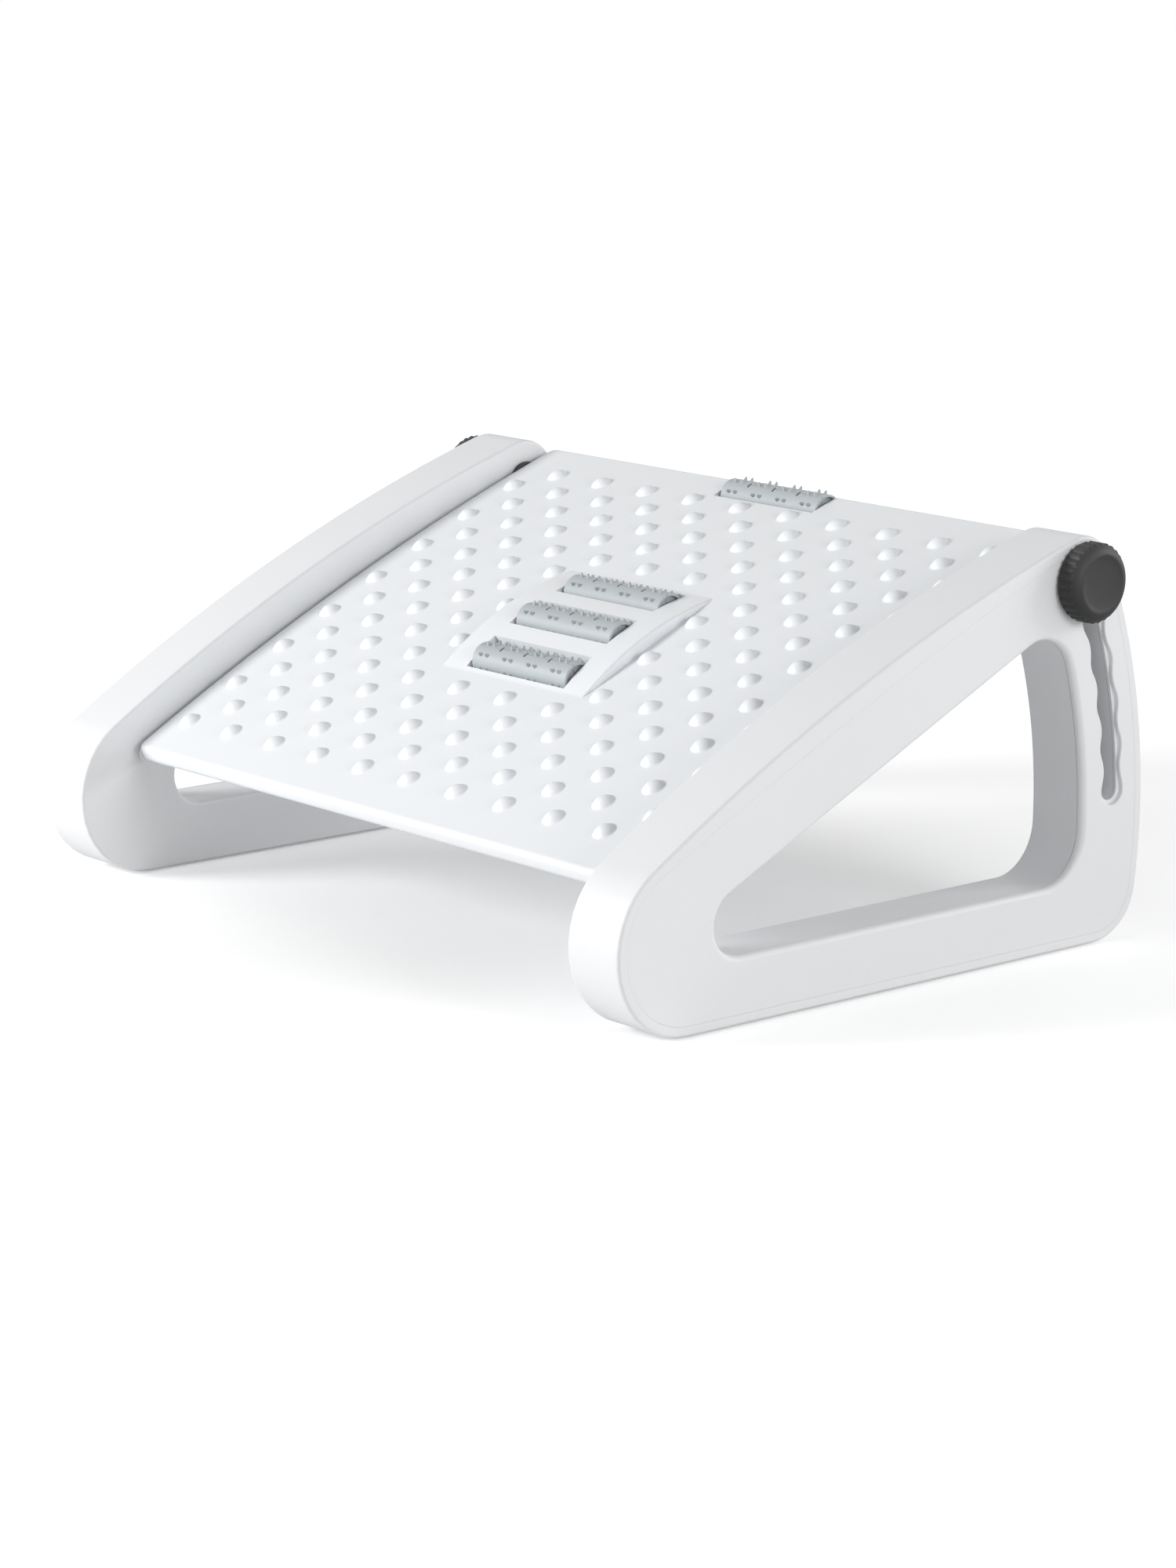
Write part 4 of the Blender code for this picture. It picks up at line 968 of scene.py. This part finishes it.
# Spacers: a small white ring on each pivot pin and a wider black one on each clamp stud
# keep the board clear of the frames.
black_plastic = moulded_plastic(
    "spacer_plastic", (0.035, 0.035, 0.036), (0.022, 0.022, 0.023), 0.5, 0.6 * MM, 0.012 * MM
)
STUD_BORE = 3.3 * MM
crest = polar(TILT, SLOT_RADIUS, PIVOT)
for name, radius, bore, centre, body, finish, slot in (
    ("pivot_spacer", 4.0, PIN_BORE, PIVOT, "side_frames", frame_plastic, "frame_plastic"),
    ("clamp_spacer", 10.0, STUD_BORE, crest, "footboard", black_plastic, "spacer_plastic"),
):
    low, high = inner - SIDE_GAP + GAP, inner - GAP
    edge = 0.6
    profile = [(low, radius - edge), (low + 0.2 * MM, radius - 0.15), (low + edge * MM, radius)]
    profile += [(high - edge * MM, radius), (high - 0.2 * MM, radius - 0.15), (high, radius - edge)]
    ring = turned("right_" + name + "_ring", [(x, r * MM) for x, r in profile], 48, centre)
    cut(ring, bar("bore", low - PAST, high + PAST, bore, centre, 32))
    ring.data.materials.append(finish)
    smooth(ring)
    left_ring = left_copy(ring, "left_" + name + "_ring")
    for piece, side in ((ring, "right"), (left_ring, "left")):
        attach(piece, body)
        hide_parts(f"{side}_{name}")

# Threaded inserts: plain machined brass, one pressed into the boss at each side of the
# board, for the stud of the clamp knob.
brass, place, sockets = new_finish("insert_brass", (0.70, 0.52, 0.25), 0.36, 1.0)
tarnish = noise(place, 300.0, 4.0, 0.6)
feed(sockets["Base Color"], mixed(tarnish, (0.55, 0.40, 0.19, 1), (0.74, 0.56, 0.28, 1)))
feed(sockets["Roughness"], tarnish * 0.25 + 0.24)
set_metal(brass, "left_threaded_insert", "right_threaded_insert")

# Clamp collars and knobs: a black flanged collar runs in the slot, and a black knob with a
# scalloped rim and a dished face screws its stud through it into the insert.
knob_plastic = moulded_plastic(
    "knob_plastic", (0.032, 0.032, 0.033), (0.021, 0.021, 0.022), 0.56, 0.7 * MM, 0.03 * MM
)
collar_profile = [
    (-29.7, 4.5), (-29.3, 4.9), (0.3, 4.9), (0.3, 12.2), (0.6, 12.5), (1.2, 12.5), (1.5, 12.2),
]
collar_levels = [(outer + x * MM, radius * MM) for x, radius in collar_profile]
collar = turned("right_collar", collar_levels, 64, crest)
cut(collar, bar("bore", inner - 10 * PAST, outer + 10 * PAST, STUD_BORE, crest, 32))
collar.data.materials.append(black_plastic)
smooth(collar)

SCALLOPS = 30
SCALLOP_DEPTH_MM = 0.85
KNOB_SIDES = SCALLOPS * 8
COLLAR_RECESS_DEPTH = 1.8 * MM
COLLAR_RECESS_RADIUS = 13.1 * MM
KNOB_BORE_DEPTH = 9 * MM
knob_profile = [
    (0.5, 17.6, 0), (0.7, 18.0, 0), (1.2, 18.2, 0), (1.7, 18.9, 0.7), (2.2, 19.2, 1),
    (8.8, 19.2, 1), (9.3, 18.9, 0.8), (9.7, 18.4, 0.3), (10.1, 18.1, 0), (11.0, 17.4, 0),
    (11.8, 16.4, 0), (12.4, 15.3, 0), (12.7, 14.5, 0), (12.8, 13.9, 0), (12.75, 13.3, 0),
    (12.5, 12.6, 0), (12.2, 11.0, 0), (12.0, 8.0, 0), (11.9, 4.5, 0), (11.85, 1.5, 0),
]
rings = []
for height, radius, scalloped in knob_profile:
    ring = []
    for k in range(KNOB_SIDES):
        a = 2 * math.pi * k / KNOB_SIDES
        valley = (0.5 - 0.5 * math.cos(SCALLOPS * a)) ** 1.6
        rim = polar(a, (radius - SCALLOP_DEPTH_MM * scalloped * valley) * MM, crest)
        ring.append((outer + height * MM, *rim))
    rings.append(ring)
knob = extruded("right_knob_moulding", rings)
recess_end = outer + COLLAR_RECESS_DEPTH
cut(knob, bar("recess", outer, recess_end, COLLAR_RECESS_RADIUS, crest, 64))
cut(knob, bar("bore", outer, outer + KNOB_BORE_DEPTH, STUD_BORE, crest, 32))
knob.data.materials.append(knob_plastic)
smooth(knob, 40)
clamp = ((collar, "clamp_collar", "spacer_plastic"), (knob, "knob", "knob_plastic"))
for piece, node, slot in clamp:
    left_piece = left_copy(piece, piece.name.replace("right", "left"))
    for made, side in ((piece, "right"), (left_piece, "left")):
        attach(made, side + "_" + node.replace("clamp_", ""))
        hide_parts(side + "_" + node)
